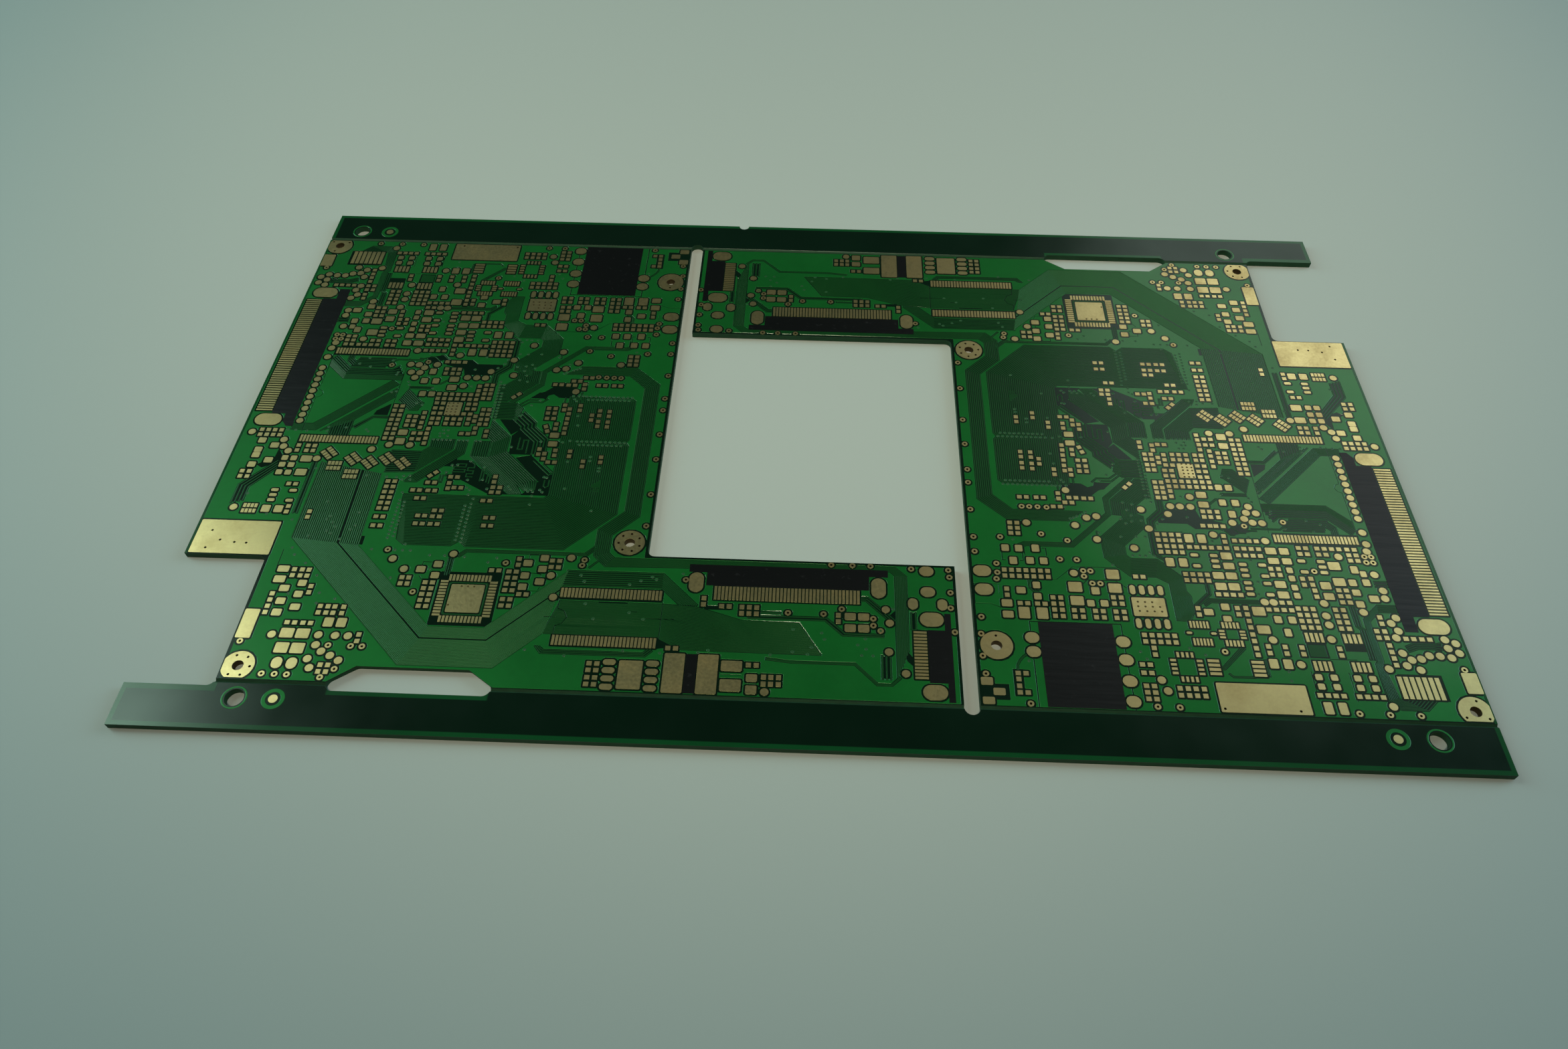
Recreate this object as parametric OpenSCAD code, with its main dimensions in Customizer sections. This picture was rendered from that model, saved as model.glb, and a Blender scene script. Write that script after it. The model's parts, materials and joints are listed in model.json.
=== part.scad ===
// Bare circuit board panel: two identical L-shaped boards, the second turned half
// a turn, held between two scored break-off rails, with gold-plated copper lands.
// The origin is the middle of the underside, X runs along the rails, Z is up.

/* [Panel] */
// Length of the panel along its rails
panel_w = 174.8; // [170:0.2:210]
// Depth of the panel across its rails
panel_d = 104.4; // [100:0.2:126]
// Thickness of the laminate with its solder mask
board_t = 1.0; // [0.8:0.1:1.6]
// Width of each break-off rail, up to the middle of its score
rail_w = 6.8; // [5:0.1:8.2]
// Width of the V-shaped score at the surface
score_w = 0.6; // [0.3:0.05:0.8]
// Depth of the score in each face
score_depth = 0.3; // [0.2:0.02:0.36]

/* [Routed openings] */
// Width of the square window between the boards
window_w = 45; // [37:0.5:54]
// Depth of the window
window_d = 46.5; // [38:0.5:50]
// Width of the routed slots, which is the cutter's diameter
slot_w = 2.1; // [1.6:0.1:2.6]
// Radius that the cutter leaves in an inner corner
corner_r = 1; // [0.6:0.1:1.2]
// Length of the tab that stands beside each notch
notch_w = 11.6; // [9:0.1:13]
// Distance from the panel's middle line to the notch
notch_y = 25.35; // [24:0.05:30]
// Length of the edge recess at its rail side
recess_w = 21.4; // [17:0.1:25]
// Width of the edge recess, from the rail into the board
recess_d = 3.95; // [3:0.05:4.8]
// How far each end of the edge recess leans in
recess_lean = 2.5; // [1.6:0.1:4]
// Corner radius of the edge recess
recess_r = 1.1; // [0.8:0.05:1.4]

/* [Holes] */
// Diameter of the tooling holes in the rails
tooling_d = 2.5; // [2:0.1:3.2]
// Diameter of the mounting holes, inside their plating
mount_d = 1.5; // [1.2:0.1:1.8]
// Diameter of the round land about a mounting hole
mount_land_d = 4.3; // [3.4:0.1:5.2]
// How much smaller the round land of the underside is
underside_step = 0.6; // [0.4:0.05:0.9]
// Thickness of the plating in a hole
plating_t = 0.05; // [0.02:0.01:0.08]

/* [Lands] */
// Thickness of the copper with its gold plating
copper_t = 0.05; // [0.03:0.01:0.08]
// Thickness of the black insulating ink
ink_t = 0.03; // [0.02:0.01:0.06]
// Width of a small chip land, across the chip
chip_w = 0.65; // [0.5:0.01:0.8]
// Length of a small chip land, along the chip
chip_l = 0.68; // [0.5:0.01:0.8]
// Distance between the two lands of a small chip
chip_pitch = 1.02; // [0.9:0.01:1.15]
// Diameter of a test pad
test_pad_d = 1.1; // [0.9:0.05:1.3]
// Spacing of the fine finger lands
finger_pitch = 0.5; // [0.42:0.01:0.6]
// Width of a fine finger land
finger_w = 0.3; // [0.2:0.01:0.36]
// Diameter of a via's hole, inside its plating
via_d = 0.35; // [0.25:0.01:0.42]
// Width of the bare ring about a via
via_ring = 0.2; // [0.12:0.01:0.25]
// Corner cut of a square land
land_cut = 0.12; // [0.05:0.01:0.15]

/* [Hidden] */

laminate = "#0b4a2b";
gold = "#c9b98a";
black = "#16181a";
eps = 1;                            // how far a cut runs past a face

left = -panel_w / 2;                // outer edge of board A
score_y = panel_d / 2 - rail_w;     // middle of the score, on each side
inner_x = -window_w / 2;            // board A's edge at the window
arm_y = -window_d / 2;              // upper edge of board A's arm
arm_end = window_w / 2 - slot_w;    // end of board A's arm
tab_x = left + notch_w;             // board A's edge below its tab
slot_end_y = score_y + 0.05;        // centre of the round end of a slot
rail_edge_y = score_y + 0.75;       // rail's edge where it is routed free
tab_middle = [tab_x - (notch_w - 0.2) / 2 + 0.25, -notch_y + 3.1];
rail_mid_y = score_y + rail_w / 2 - 1;

// The layout's own grid on the left, and the edge it keeps to on the right: a
// place read on the grid moves with the board's edges when a size changes. What
// lies within edge_zone of a rail keeps its distance from it.
edge_zone = 6.4;
grid_x = [[-87.4, left], [-75.8, tab_x], [-22.5, inner_x], [20.4, arm_end]];
grid_y = [[-45.4, -score_y], [-39, -score_y + edge_zone], [-23.25, arm_y],
          [39, score_y - edge_zone], [45.4, score_y]];
function at(p) = [lookup(p.x, grid_x), lookup(p.y, grid_y)];

// Mounting holes of a board
mounts = [[-85.25, 43.5], [-25.25, 36], [-25.3, -21], [-73.65, -43.1]];
// Vias of a board that stay open, each with a bare ring
open_vias = [
    [-78.1, 44.4], [-74.25, 44.4], [-70.4, 44.4], [-85.9, 37.35], [-55.25, 35.8], [-47.8, 44.4],
    [-45, 44.4], [-28.9, 44.6], [-23.5, 40.4], [-23.55, 31.55],
    [-26.1, 25.15], [-26.3, 24.05], [-26.3, 22.5], [-37.6, 21.4], [-35.25, 21.4], [-36.7, 18.05],
    [-33.1, 17], [-27.2, 17.75], [-23.4, 20.5], [-23.4, 17.9], [-40.35, 25.4], [-39.25, 25.4],
    [-38.25, 24.25], [-39.25, 23.3], [-38.25, 23.3], [-70.4, 22.1],
    [-79.05, 20.25], [-78.1, 20.25], [-79.05, 19.25], [-78.1, 19.25], [-62.4, 14.4],
    [-68.15, 13.45], [-34.4, 12.05], [-33.1, 12], [-31.9, 12], [-30.8, 12], [-23.3, 12.85],
    [-23.3, 7.7], [-23.35, 5.15], [-23.3, 0], [-23.3, -5.1], [-23.3, -12], [-23.3, -17.9],
    [-31.2, -24.3], [-31.4, -25.25], [-42.1, -25.25], [-59.1, -23.6], [-53.85, -30.65],
    [-70.2, -44.2], [-68.5, -44.2], [-66.9, -44.2], [-62.85, -39.6],
    [-59.85, -39.6], [-58.35, -39.6], [-61, -43.15], [-62.5, -44.45],
    [-2.5, -32], [2.3, -32], [3.25, -23.75], [6.2, -23.75], [8.7, -23.75], [4.75, -31.1],
    [9, -32.5], [9, -33.6], [9.95, -34.4], [14.35, -24], [19.5, -24], [19.6, -25.2],
    [19.6, -27.8], [19.5, -30.35], [19.85, -34.2]
];
// Middles that whatever stands close to them keeps its distance from
port_middle = [-85.4, 15.7];
display_middle = [-2.75, -29.1];
side_middle = [15.2, -37.9];
shield_middle = [-36.05, 38.55];
power_middle = [-58.75, 42.7];
foot_middle = [-74.55, -36.6];
contact_middle = [-14.85, -41.95];
root_middle = [-37.9, -25.15];
// Open vias beside a middle, and beside the mounting hole at the window
tied_vias = [[display_middle, [-14, 2]], [foot_middle, [-0.1, -2.8]]];
rim_vias = [41, -42];               // their directions from the hole, in degrees
// Vias through the ground lands, and from each mounting hole's middle
power_vias = [[-4.3, 1.65], [5.25, 1.65]];
tab_vias = [[-3.65, 1.05], [-1.95, -0.6], [0.2, -0.95], [1.9, -1], [-3.55, -2.05]];
mount_vias = [[[-1.4, 1], [1.45, 0.9], [-0.55, -1.55]], [[0, -1.5]],
              [for (i = [0 : 6]) 1.55 * [cos(84 - 52 * i), sin(84 - 52 * i)]],
              [for (i = [0 : 4]) 1.6 * [cos(112 - 58 * i), sin(112 - 58 * i)]]];

// Where every open via stands
via_places = [
    for (p = open_vias) at(p),
    for (t = tied_vias) at(t[0]) + t[1],
    for (a = rim_vias) at(mounts[1]) + (mount_land_d / 2 + 0.44) * [cos(a), sin(a)]
];

// Tooling holes and fiducials of the rails, each from its nearest panel end
tooling = [[left + 5, rail_mid_y], [-left - 14.9, rail_mid_y],
           [left + 14.9, -rail_mid_y], [-left - 8, -rail_mid_y]];
fiducials = [[left + 10, rail_mid_y], [left + 19.9, -rail_mid_y], [-left - 13.2, -rail_mid_y]];

// ---- Shapes that the lands share ----

// Lifts a land onto the top face of the laminate
module on_face(p, turn = 0)
    translate([at(p).x, at(p).y, board_t]) rotate([0, 0, turn]) children();

// The second board's copy of whatever a board carries
module turned() rotate([0, 0, 180]) children();

// Square land with its corners cut
module land(w, d, cut = land_cut) {
    x = w / 2;
    y = d / 2;
    linear_extrude(copper_t)
        polygon([[x, y - cut], [x - cut, y], [cut - x, y], [-x, y - cut],
                 [-x, cut - y], [cut - x, -y], [x - cut, -y], [x, cut - y]]);
}

// Long round-ended land
module oval(w, d) {
    r = min(w, d) / 2;
    dx = w / 2 - r;
    dy = d / 2 - r;
    linear_extrude(copper_t) {
        square([w - 2 * (dy > 0 ? 0 : r), d - 2 * (dy > 0 ? r : 0)], center = true);
        for (s = [-1, 1]) translate([s * dx, s * dy]) circle(r, $fn = 32);
    }
}

// Round land
module dot(d = test_pad_d) cylinder(d = d, h = copper_t, $fn = 32);

// Plated hole at the origin, from the underside to the face of the lands
module barrel() cylinder(d = via_d + 2 * plating_t, h = board_t + copper_t, $fn = 24);

// Hole of a via, or the room for its plating
module drill(d = via_d) translate([0, 0, -eps]) cylinder(d = d, h = board_t + 2 * eps, $fn = 24);

// Row of n narrow lands along X, centred
module fingers(n, length, pitch = finger_pitch, width = finger_w)
    for (i = [0 : n - 1])
        translate([(i - (n - 1) / 2) * pitch - width / 2, -length / 2, 0])
            cube([width, length, copper_t]);

// The two lands of a small chip that stands along Y
module chip() for (s = [-1, 1])
    translate([-chip_w / 2, s * chip_pitch / 2 - chip_l / 2, 0]) cube([chip_w, chip_l, copper_t]);

// Chips along Y at the places of ps, and chips along X at those of qs
module chips(ps, qs = []) {
    for (p = ps) on_face(p) chip();
    for (q = qs) on_face(q, 90) chip();
}

// Square lands, each given as place and size
module lands(list) for (l = list) on_face([l[0], l[1]]) land(l[2], l[3]);

// Round-ended lands, each given as place and size
module ovals(list) for (l = list) on_face([l[0], l[1]]) oval(l[2], l[3]);

// Whatever stands at each via that passes through a land of its own
module at_land_vias() {
    for (v = power_vias) translate(at(power_middle) + v) children();
    for (v = tab_vias) translate(tab_middle + v) children();
    for (i = [0 : len(mounts) - 1], v = mount_vias[i]) translate(at(mounts[i]) + v) children();
}

// ---- The panel ----

// Rounded opening with its middle at the origin
module rounded(w, d, r) {
    square([w - 2 * r, d], center = true);
    square([w, d - 2 * r], center = true);
    for (x = [-1, 1], y = [-1, 1])
        translate([x * (w / 2 - r), y * (d / 2 - r)]) circle(r, $fn = 32);
}

// Notch between board A's tab and the rail, open to the left
module notch() {
    d = rail_edge_y - notch_y;
    translate([tab_x - panel_w / 2, -notch_y - d / 2]) rounded(panel_w, d, corner_r);
}

// Slot between the end of board A's arm and board B, with its round end in the rail
module slot() {
    translate([arm_end, -slot_end_y]) square([slot_w, slot_end_y]);
    translate([arm_end + slot_w / 2, -slot_end_y]) circle(d = slot_w, $fn = 32);
}

// Outward direction of the side from a to b of an outline that runs anticlockwise
function outward(a, b) = [b.y - a.y, a.x - b.x] / norm(b - a);

// Outline about circles of radius r at the centres c, which run anticlockwise
module wrapped(c, r) {
    n = len(c);
    polygon([for (i = [0 : n - 1], k = [i + n - 1, i + n])
             c[i] + r * outward(c[k % n], c[(k + 1) % n])]);
    for (p = c) translate(p) circle(r, $fn = 32);
}

// Recess in the board's edge beside the rail, with leaning ends
module recess() {
    w = recess_w / 2 - recess_r;
    top = recess_d - 2 * recess_r;
    translate([at([-50.85, 0]).x, -rail_edge_y - 0.2 + recess_r])
        wrapped([[-w, 0], [w, 0], [w - recess_lean, top], [recess_lean - w, top]], recess_r);
}

// V-shaped groove in the top face, along the whole panel
module score() rotate([90, 0, 90])
    translate([0, 0, -panel_w / 2 - eps]) linear_extrude(panel_w + 2 * eps)
        polygon([[-score_w / 2, board_t], [0, board_t - score_depth], [score_w / 2, board_t],
                 [score_w / 2, board_t + eps], [-score_w / 2, board_t + eps]]);

// Outline of the land about mounting hole m, which stops short of the board's edges
module mount_outline(m, d) intersection() {
    translate(at(m)) circle(d = d, $fn = 64);
    translate([(m.y < -25.35 ? tab_x : left) + 0.2, -score_y + 0.5])
        square([panel_w, 2 * score_y - 1]);
}

// Room for the plating of mounting hole m, with the seat of its underside land
module mount_seat(m) {
    translate([at(m).x, at(m).y, -eps])
        cylinder(d = mount_d + 2 * plating_t, h = board_t + 2 * eps, $fn = 48);
    translate([0, 0, -eps]) linear_extrude(copper_t + eps)
        mount_outline(m, mount_land_d - underside_step);
}

module panel() color(laminate) difference() {
    linear_extrude(board_t) difference() {
        square([panel_w, panel_d], center = true);
        rounded(window_w, window_d, corner_r);
        for (turn = [0, 180]) rotate(turn) {
            notch();
            slot();
            recess();
        }
        // nick in the outer edge of the far rail
        translate([at([-13.45, 0]).x, panel_d / 2]) circle(d = 1.7, $fn = 32);
    }
    for (turn = [0, 180]) rotate([0, 0, turn]) {
        translate([0, score_y, 0]) score();
        translate([0, score_y, board_t]) mirror([0, 0, 1]) score();
        for (m = mounts) mount_seat(m);
        for (p = via_places) translate(p) drill(via_d + 2 * plating_t);
        at_land_vias() drill(via_d + 2 * plating_t);
    }
    for (t = tooling) translate([t.x, t.y, -eps])
        cylinder(d = tooling_d, h = board_t + 2 * eps, $fn = 48);
}

module rail_fiducials() color(gold)
    for (f = fiducials) translate([f.x, f.y, board_t]) dot(1.2);

// ---- Lands of one board ----

// Plated hole: land on top, barrel, and a smaller land flush with the underside
module mount_lands() color(gold) for (i = [0 : len(mounts) - 1]) {
    m = mounts[i];
    difference() {
        union() {
            translate([0, 0, board_t]) linear_extrude(copper_t) mount_outline(m, mount_land_d);
            linear_extrude(copper_t) mount_outline(m, mount_land_d - underside_step);
            translate(at(m))
                cylinder(d = mount_d + 2 * plating_t, h = board_t + copper_t, $fn = 48);
            for (v = mount_vias[i]) translate(at(m) + v) barrel();
        }
        translate([at(m).x, at(m).y, -eps])
            cylinder(d = mount_d, h = board_t + 2 * eps, $fn = 48);
        for (v = mount_vias[i]) translate(at(m) + v) drill();
    }
}

// Open vias, each a barrel with a ring about its mouth
module vias() color(gold) for (p = via_places) translate(p) difference() {
    union() {
        barrel();
        translate([0, 0, board_t]) dot(via_d + 2 * (plating_t + via_ring));
    }
    drill();
}

// Bare areas that touch the metal frame: the tab, the two edges and the far side
module ground_lands() color(gold) difference() {
    union() {
        translate([tab_middle.x, tab_middle.y, board_t]) land(notch_w - 0.2, 5.9);
        on_face(foot_middle) land(2, 4.6);
        on_face([-86.2, 39.35]) land(2, 3.1);
        on_face(power_middle) land(11.5, 4.3);
        for (v = power_vias) translate(at(power_middle) + v) barrel();
        for (v = tab_vias) translate(tab_middle + v) barrel();
    }
    for (v = power_vias) translate(at(power_middle) + v) drill();
    for (v = tab_vias) translate(tab_middle + v) drill();
}

// Half the length of a row of n fingers, between the middles of its end fingers
function reach(n) = (n - 1) / 2 * finger_pitch;

// Connector of n fingers along X with an anchor land w by d past each end, offset
// by off from the last finger
module connector(n, length, width, w, d, off) {
    fingers(n, length, width = width);
    for (s = [-1, 1]) translate([s * (reach(n) + off.x), off.y, 0]) oval(w, d);
}

// Long connector at the left edge
module port_lands() color(gold)
    on_face(port_middle, 90) connector(53, 2.5, finger_w, 2.4, 4.1, [2.03, -1.3]);

// Display connector on the arm
module display_lands() color(gold)
    on_face(display_middle) connector(40, 2.2, finger_w + 0.06, 2, 3.3, [2.78, 1.65]);

// Small connector at the end of the arm
module side_lands() color(gold)
    on_face(side_middle, 90) connector(15, 1.75, finger_w, 2.2, 3.2, [2.1, -1.65]);

// Two rows of fingers for a flat package, and the row of test pads beside it
module flash_lands() color(gold) {
    for (y = [16.45, -3]) on_face([-72.05, y]) fingers(24, 1.35, width = finger_w + 0.04);
    for (i = [0 : 9]) on_face([-79.15, 0.6 + 1.305 * i]) dot(1.05);
}

// Two rows of fingers for a second flat package, across the root of the arm
module memory_lands() color(gold)
    for (y = [memory_middle.y, -37.55]) on_face([memory_middle.x, y]) fingers(28, 1.55, width = finger_w + 0.06);

// Square package with twelve fingers a side about its thermal land
module processor_lands() color(gold) {
    n = 12;
    row = reach(n) + 0.65;          // from the middle to a side's fingers
    on_face([-46.45, -31.45]) {
        for (turn = [0 : 90 : 270]) rotate([0, 0, turn])
            translate([0, row, 0]) fingers(n, 1.05, width = finger_w + 0.04);
        land(2 * row - 2.2, 2 * row - 2.2);
    }
}

// Small packages: rows of short fingers, and two thermal lands
module driver_lands() color(gold) {
    on_face([-79.4, 40.35]) fingers(7, 3.3, pitch = 0.8, width = 0.58);
    for (x = [-72.6, -67.6], y = [37.5, 33.1])
        on_face([x, y]) fingers(4, 1.45, pitch = 0.65, width = 0.42);
    on_face([-59.15, 38.25], 90) fingers(4, 1.6, pitch = 0.65, width = 0.42);
    on_face([-53.4, 38.25], 90) fingers(4, 1.5, pitch = 0.65, width = 0.42);
    for (x = [-51.6, -48.15]) on_face([x, 38.35], 90) fingers(4, 0.75, pitch = 0.65, width = 0.36);
    for (y = [40.2, 36.5]) on_face([-49.85, y]) fingers(4, 0.8, pitch = 0.62, width = 0.34);
    for (y = [34.45, 31.6]) on_face([-56.8, y]) fingers(5, 0.95, width = 0.32);
    for (x = [-58.2, -55.45]) on_face([x, 33.05], 90) fingers(3, 0.75, width = 0.3);
    for (y = [34.4, 31.65]) on_face([-52.65, y]) fingers(6, 1.1, pitch = 0.45, width = 0.28);
    for (x = [-54.35, -51.1]) on_face([x, 33]) land(0.75, 0.36);
    for (y = [31.75, 26.25])
        on_face([-46.5, y]) for (i = [-1.5 : 1.5]) translate([1.27 * i, 0, 0]) oval(0.75, 1.55);
    lands([[-46.45, 29.05, 4.5, 3.05], [-56.05, 4.1, 2.4, 2.85]]);
}

// Ovals on both sides of the large inked field, and two more near the edge
module socket_lands() color(gold) {
    for (y = [5.25, 2.25, -0.95, -3.75])
        on_face(shield_middle) translate([-6, y, 0]) oval(1.9, 1.65);
    for (y = [-1.75, -3.95]) on_face(shield_middle) translate([6, y, 0]) oval(1.9, 1.65);
    ovals([[-24.25, 27, 2.5, 1.85], [-24.2, 23.85, 2.5, 1.8],
           [-68.75, -42.5, 1.4, 1.7], [-66.8, -42.5, 1.4, 1.7]]);
}

// The two large contacts on the arm and the lands beside them
module battery_lands() color(gold) on_face(contact_middle) {
    for (x = [-2.2, 2.2]) translate([x, 0, 0]) land(2.7, 5.9);
    translate([5.3, 1.35, 0]) land(2.75, 1.55);
    translate([5.3, -1.55, 0]) land(2.75, 1.75);
}

// Lands for the indicator lamp at the end of the arm
module lamp_lands() color(gold)
    ovals([[16.45, -24.3, 2, 1.6], [16.5, -27.8, 2, 1.6],
           [14.4, -29.85, 1.35, 1.8], [18.4, -29.85, 1.35, 1.8]]);

// Key contacts: a square land between two columns of ovals
module key_lands() color(gold) {
    lands([[-22.65, -42.45, 3.1, 4.25]]);
    for (x = [-25.5, -19.85], i = [0 : 3]) on_face([x, -44.35 + 1.23 * i]) oval(1.7, 0.85);
}

// Test pads that keep their distance from the end of a row
memory_middle = [-26.7, -29.9];
tied_pads = [
    for (v = [[0.55, 19.85], [-0.7, 19.1], [0.55, 18.4], [-0.7, 17.6], [0.55, 17.05]])
        [port_middle, v],
    [memory_middle, [-7.85, -0.85]]
];

module test_pads() color(gold) {
    for (t = tied_pads) on_face(t[0]) translate(t[1]) dot();
    for (p = [
    [-75, 43.2], [-80.2, 37.6], [-78.6, 37], [-76.1, 37.6], [-83.4, 35.35],
    [-82, 35.35], [-80.8, 35.9], [-79.5, 36.1], [-78.6, 35.1], [-78.5, 32.7],
    [-79.1, 31.6], [-78.5, 30.4], [-79.4, 29.5],
    [-69.8, 33.3], [-70.1, 31], [-70.1, 29.55], [-75.3, 28.75], [-70.35, 27.5], [-78.9, 26.35],
    [-79, 25.05], [-78.6, 22.35], [-74.45, 19.4], [-78.7, 18.3], [-79, 17], [-79.05, 14.9],
    [-64.8, 37.4], [-62, 33.7], [-46.7, 42.05], [-46.15, 40.45], [-63.5, 27.6], [-62.3, 27.6],
    [-64.8, 17], [-57.65, 16.15], [-46, 19], [-48.65, 15.4], [-36.9, 23.75], [-40.95, 17.65],
    [-38.15, 15.2], [-31.2, 15], [-65.1, 13.75], [-63.75, 13.7], [-62.7, 13.05], [-64.6, 11.95],
    [-63.2, 11.9], [-63.75, 10.75], [-60.85, 13.85], [-51.85, 12.6], [-48.05, 11.9],
    [-55.35, 11.1], [-53.85, 11.1], [-52.45, 11.1], [-55.6, 9.2], [-41.4, 13.45], [-39.95, 13.75],
    [-37.55, 8.65], [-85.7, -2], [-80.3, -3.45], [-79.95, -4.8], [-78.95, -5.7], [-74.2, -7.05],
    [-83.4, -16.85], [-66.5, -4.85], [-64.1, -3.8], [-60.95, -3.75], [-49.7, -24], [-58, -25.15],
    [-56, -26.85], [-33.1, -24], [-35.45, -27.15], [-70.8, -38.2],
    [-64.6, -38.05], [-62.35, -38.05], [-60.65, -38.05], [-64.5, -39.6], [-63.5, -40.55],
    [-62.15, -41.15], [-64.95, -41.75], [-60.85, -41.85], [-64.3, -43.1], [-5.1, -44.3],
    [10.7, -30.95], [11.2, -33.1], [11, -37.65], [13.15, -40.85]
    ]) on_face(p) dot();
}

// Eight lands of one resistor array
module array() for (y = [-0.5, 0.5]) translate([0, y, 0])
    fingers(4, 0.72, pitch = 0.55, width = 0.42);

// Resistor arrays of four: some square to the board, some at 45 degrees
module array_lands() color(gold) {
    for (p = [[-71.2, -8.35], [-68.3, -9.9], [-81.05, -16.95]]) on_face(p) array();
    for (p = [[-72.65, -5.9], [-68.75, -6.9], [-66.1, -7.5], [-63.6, -6.65], [-61.1, -7.5]])
        on_face(p, -45) array();
}

// Five short lands of a small regulator
module five() {
    for (y = [-0.95, 0, 0.95]) translate([-1.35, y, 0]) land(1.05, 0.55);
    for (y = [-0.95, 0.95]) translate([1.35, y, 0]) land(1.05, 0.55);
}

// Three lands of a transistor
module three() {
    for (y = [-0.95, 0.95]) translate([-1.1, y, 0]) land(1.15, 1.05);
    translate([1.1, 0, 0]) land(1.25, 1.05);
}

// Regulators and transistors
module transistor_lands() color(gold) {
    for (p = [[-70.4, 21.3], [-55.6, 20.85], [-77.1, -14.35]]) on_face(p) five();
    for (p = [[-62.05, 25.4], [-62.05, 22.25]]) on_face(p, 180) five();
    on_face([-32, 20.7], -90) three();
    on_face([-28.7, 20.8], 90) three();
    on_face([-52.55, -26.8], 180) three();
    on_face(root_middle, 180) three();
    on_face([-37.95, -28.25]) three();
    on_face([-82.45, -4.65], 0) three();
    on_face([-82.45, -7.65], 0) three();
}

// Larger parts with two lands, most of them coils and capacitors
module coil_lands() color(gold) lands([
    [-68.55, 43.75, 1.1, 1.75], [-66.7, 43.75, 1.1, 1.75], [-63.1, 37.4, 1.15, 1.45],
    [-61.25, 37.4, 1.15, 1.45], [-64.3, 32.45, 0.9, 1.2], [-61.15, 32.1, 1.7, 1.3],
    [-61.15, 29.15, 1.7, 1.4], [-65.35, 30.4, 1, 1.1], [-63.45, 30.4, 1, 1.1],
    [-56.65, 30.55, 1.1, 0.9], [-56.75, 28.6, 1.1, 1.05], [-54.35, 29.55, 1.25, 1],
    [-65.15, 26.3, 1.5, 1.15], [-65.15, 24.55, 1.5, 1.15], [-58.7, 25.2, 1.5, 1.2],
    [-56.9, 25.2, 1.5, 1.2], [-58.7, 23.35, 1.5, 1.15], [-56.9, 23.35, 1.5, 1.15],
    [-58.7, 21.65, 1.5, 1.1], [-58.7, 19.9, 1.5, 1.2], [-52.45, 21.3, 1.15, 1.45],
    [-50.6, 21.3, 1.15, 1.45], [-67, 20.5, 1.3, 1.05], [-67, 18.75, 1.3, 1.15],
    [-65.15, 20.5, 1.5, 1.05], [-65.15, 18.75, 1.5, 1.15], [-55.85, 16.95, 1.15, 1.5],
    [-54, 16.95, 1.15, 1.5], [-75.25, 27.45, 1.1, 1.05], [-77.4, 26.45, 1.3, 1.05],
    [-75.25, 25.5, 1.1, 1], [-75.2, 23.85, 1.05, 1.1], [-77.1, 23.75, 1, 1.1],
    [-77.1, 22.3, 0.85, 1], [-76.05, 21.6, 1, 1.25], [-73.4, 23.8, 1.65, 1.3],
    [-73.4, 21.05, 1.65, 1.35], [-71.35, 26.3, 1.4, 1.1], [-71.35, 24.5, 1.4, 1.2],
    [-67, 26.35, 0.85, 0.95], [-67, 25, 0.85, 0.95], [-67, 23.45, 0.85, 0.95],
    [-67, 22.05, 0.85, 0.95], [-31.85, 30.65, 1.5, 1.85], [-29.4, 30.65, 1.5, 1.85],
    [-27.2, 31, 1.45, 1.1], [-27.2, 29.15, 1.45, 1.15], [-31.5, 27.9, 1, 1.05],
    [-31.5, 26, 1, 1.1], [-29.3, 26.95, 1.25, 1.05], [-42.25, 26.1, 1.75, 1.55],
    [-42.25, 23.75, 1.75, 1.6], [-40.45, 28.7, 1.05, 1.05], [-39.5, 26.65, 1.1, 1.2],
    [-38.6, 28.75, 1, 1.05], [-36.8, 28.4, 1.8, 1.5], [-36.8, 26.1, 1.85, 1.65],
    [-23.6, 44.35, 1.55, 1.05], [-25.05, 43, 1.55, 1.05], [-23.55, 41.5, 1.55, 1.15],
    [-61.15, 12.25, 1, 1.25], [-62.05, 10.1, 1.05, 1.15], [-60.2, 10.1, 1, 1.15],
    [-57.35, 10.6, 1.45, 1.1], [-57.35, 8.75, 1.45, 1.15], [-61.65, 7.2, 1, 1.1],
    [-60.2, 7.2, 1, 1.05], [-39.35, -0.85, 1.4, 1.05], [-39.35, -2.65, 1.4, 1.05],
    [-62.65, -1.2, 1.4, 1.15], [-62.65, -3.05, 1.4, 1.25], [-75.75, -7.15, 1.65, 1.2],
    [-75.75, -9.85, 1.65, 1.25], [-78.65, -16.95, 1.25, 1.3], [-76.8, -16.95, 1.25, 1.3],
    [-72.65, -27.5, 1.6, 1.05], [-72.65, -29.25, 1.6, 1.15], [-71.5, -30.75, 1.35, 1.05],
    [-71.35, -32.85, 1.25, 1.05], [-71.3, -34.7, 1.3, 1.1], [-69.3, -29.8, 1.15, 1.05],
    [-69.3, -31.65, 1.15, 1.05], [-69.1, -33.75, 1.35, 1], [-68.85, -37.9, 1.8, 1.5],
    [-66.75, -37.9, 1.8, 1.5], [-68.85, -40.2, 1.8, 1.6], [-66.75, -40.2, 1.8, 1.6],
    [-63.85, -36, 1.3, 1.45], [-62.1, -36, 1.3, 1.45], [-6.85, -42.3, 1.45, 1.1],
    [-6.85, -44.05, 1.45, 1.25], [5.9, -32.25, 1.5, 1.1], [7.7, -32.25, 1.5, 1.1],
    [5.9, -34.1, 1.5, 1.15], [7.7, -34.1, 1.5, 1.15]
]);

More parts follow.
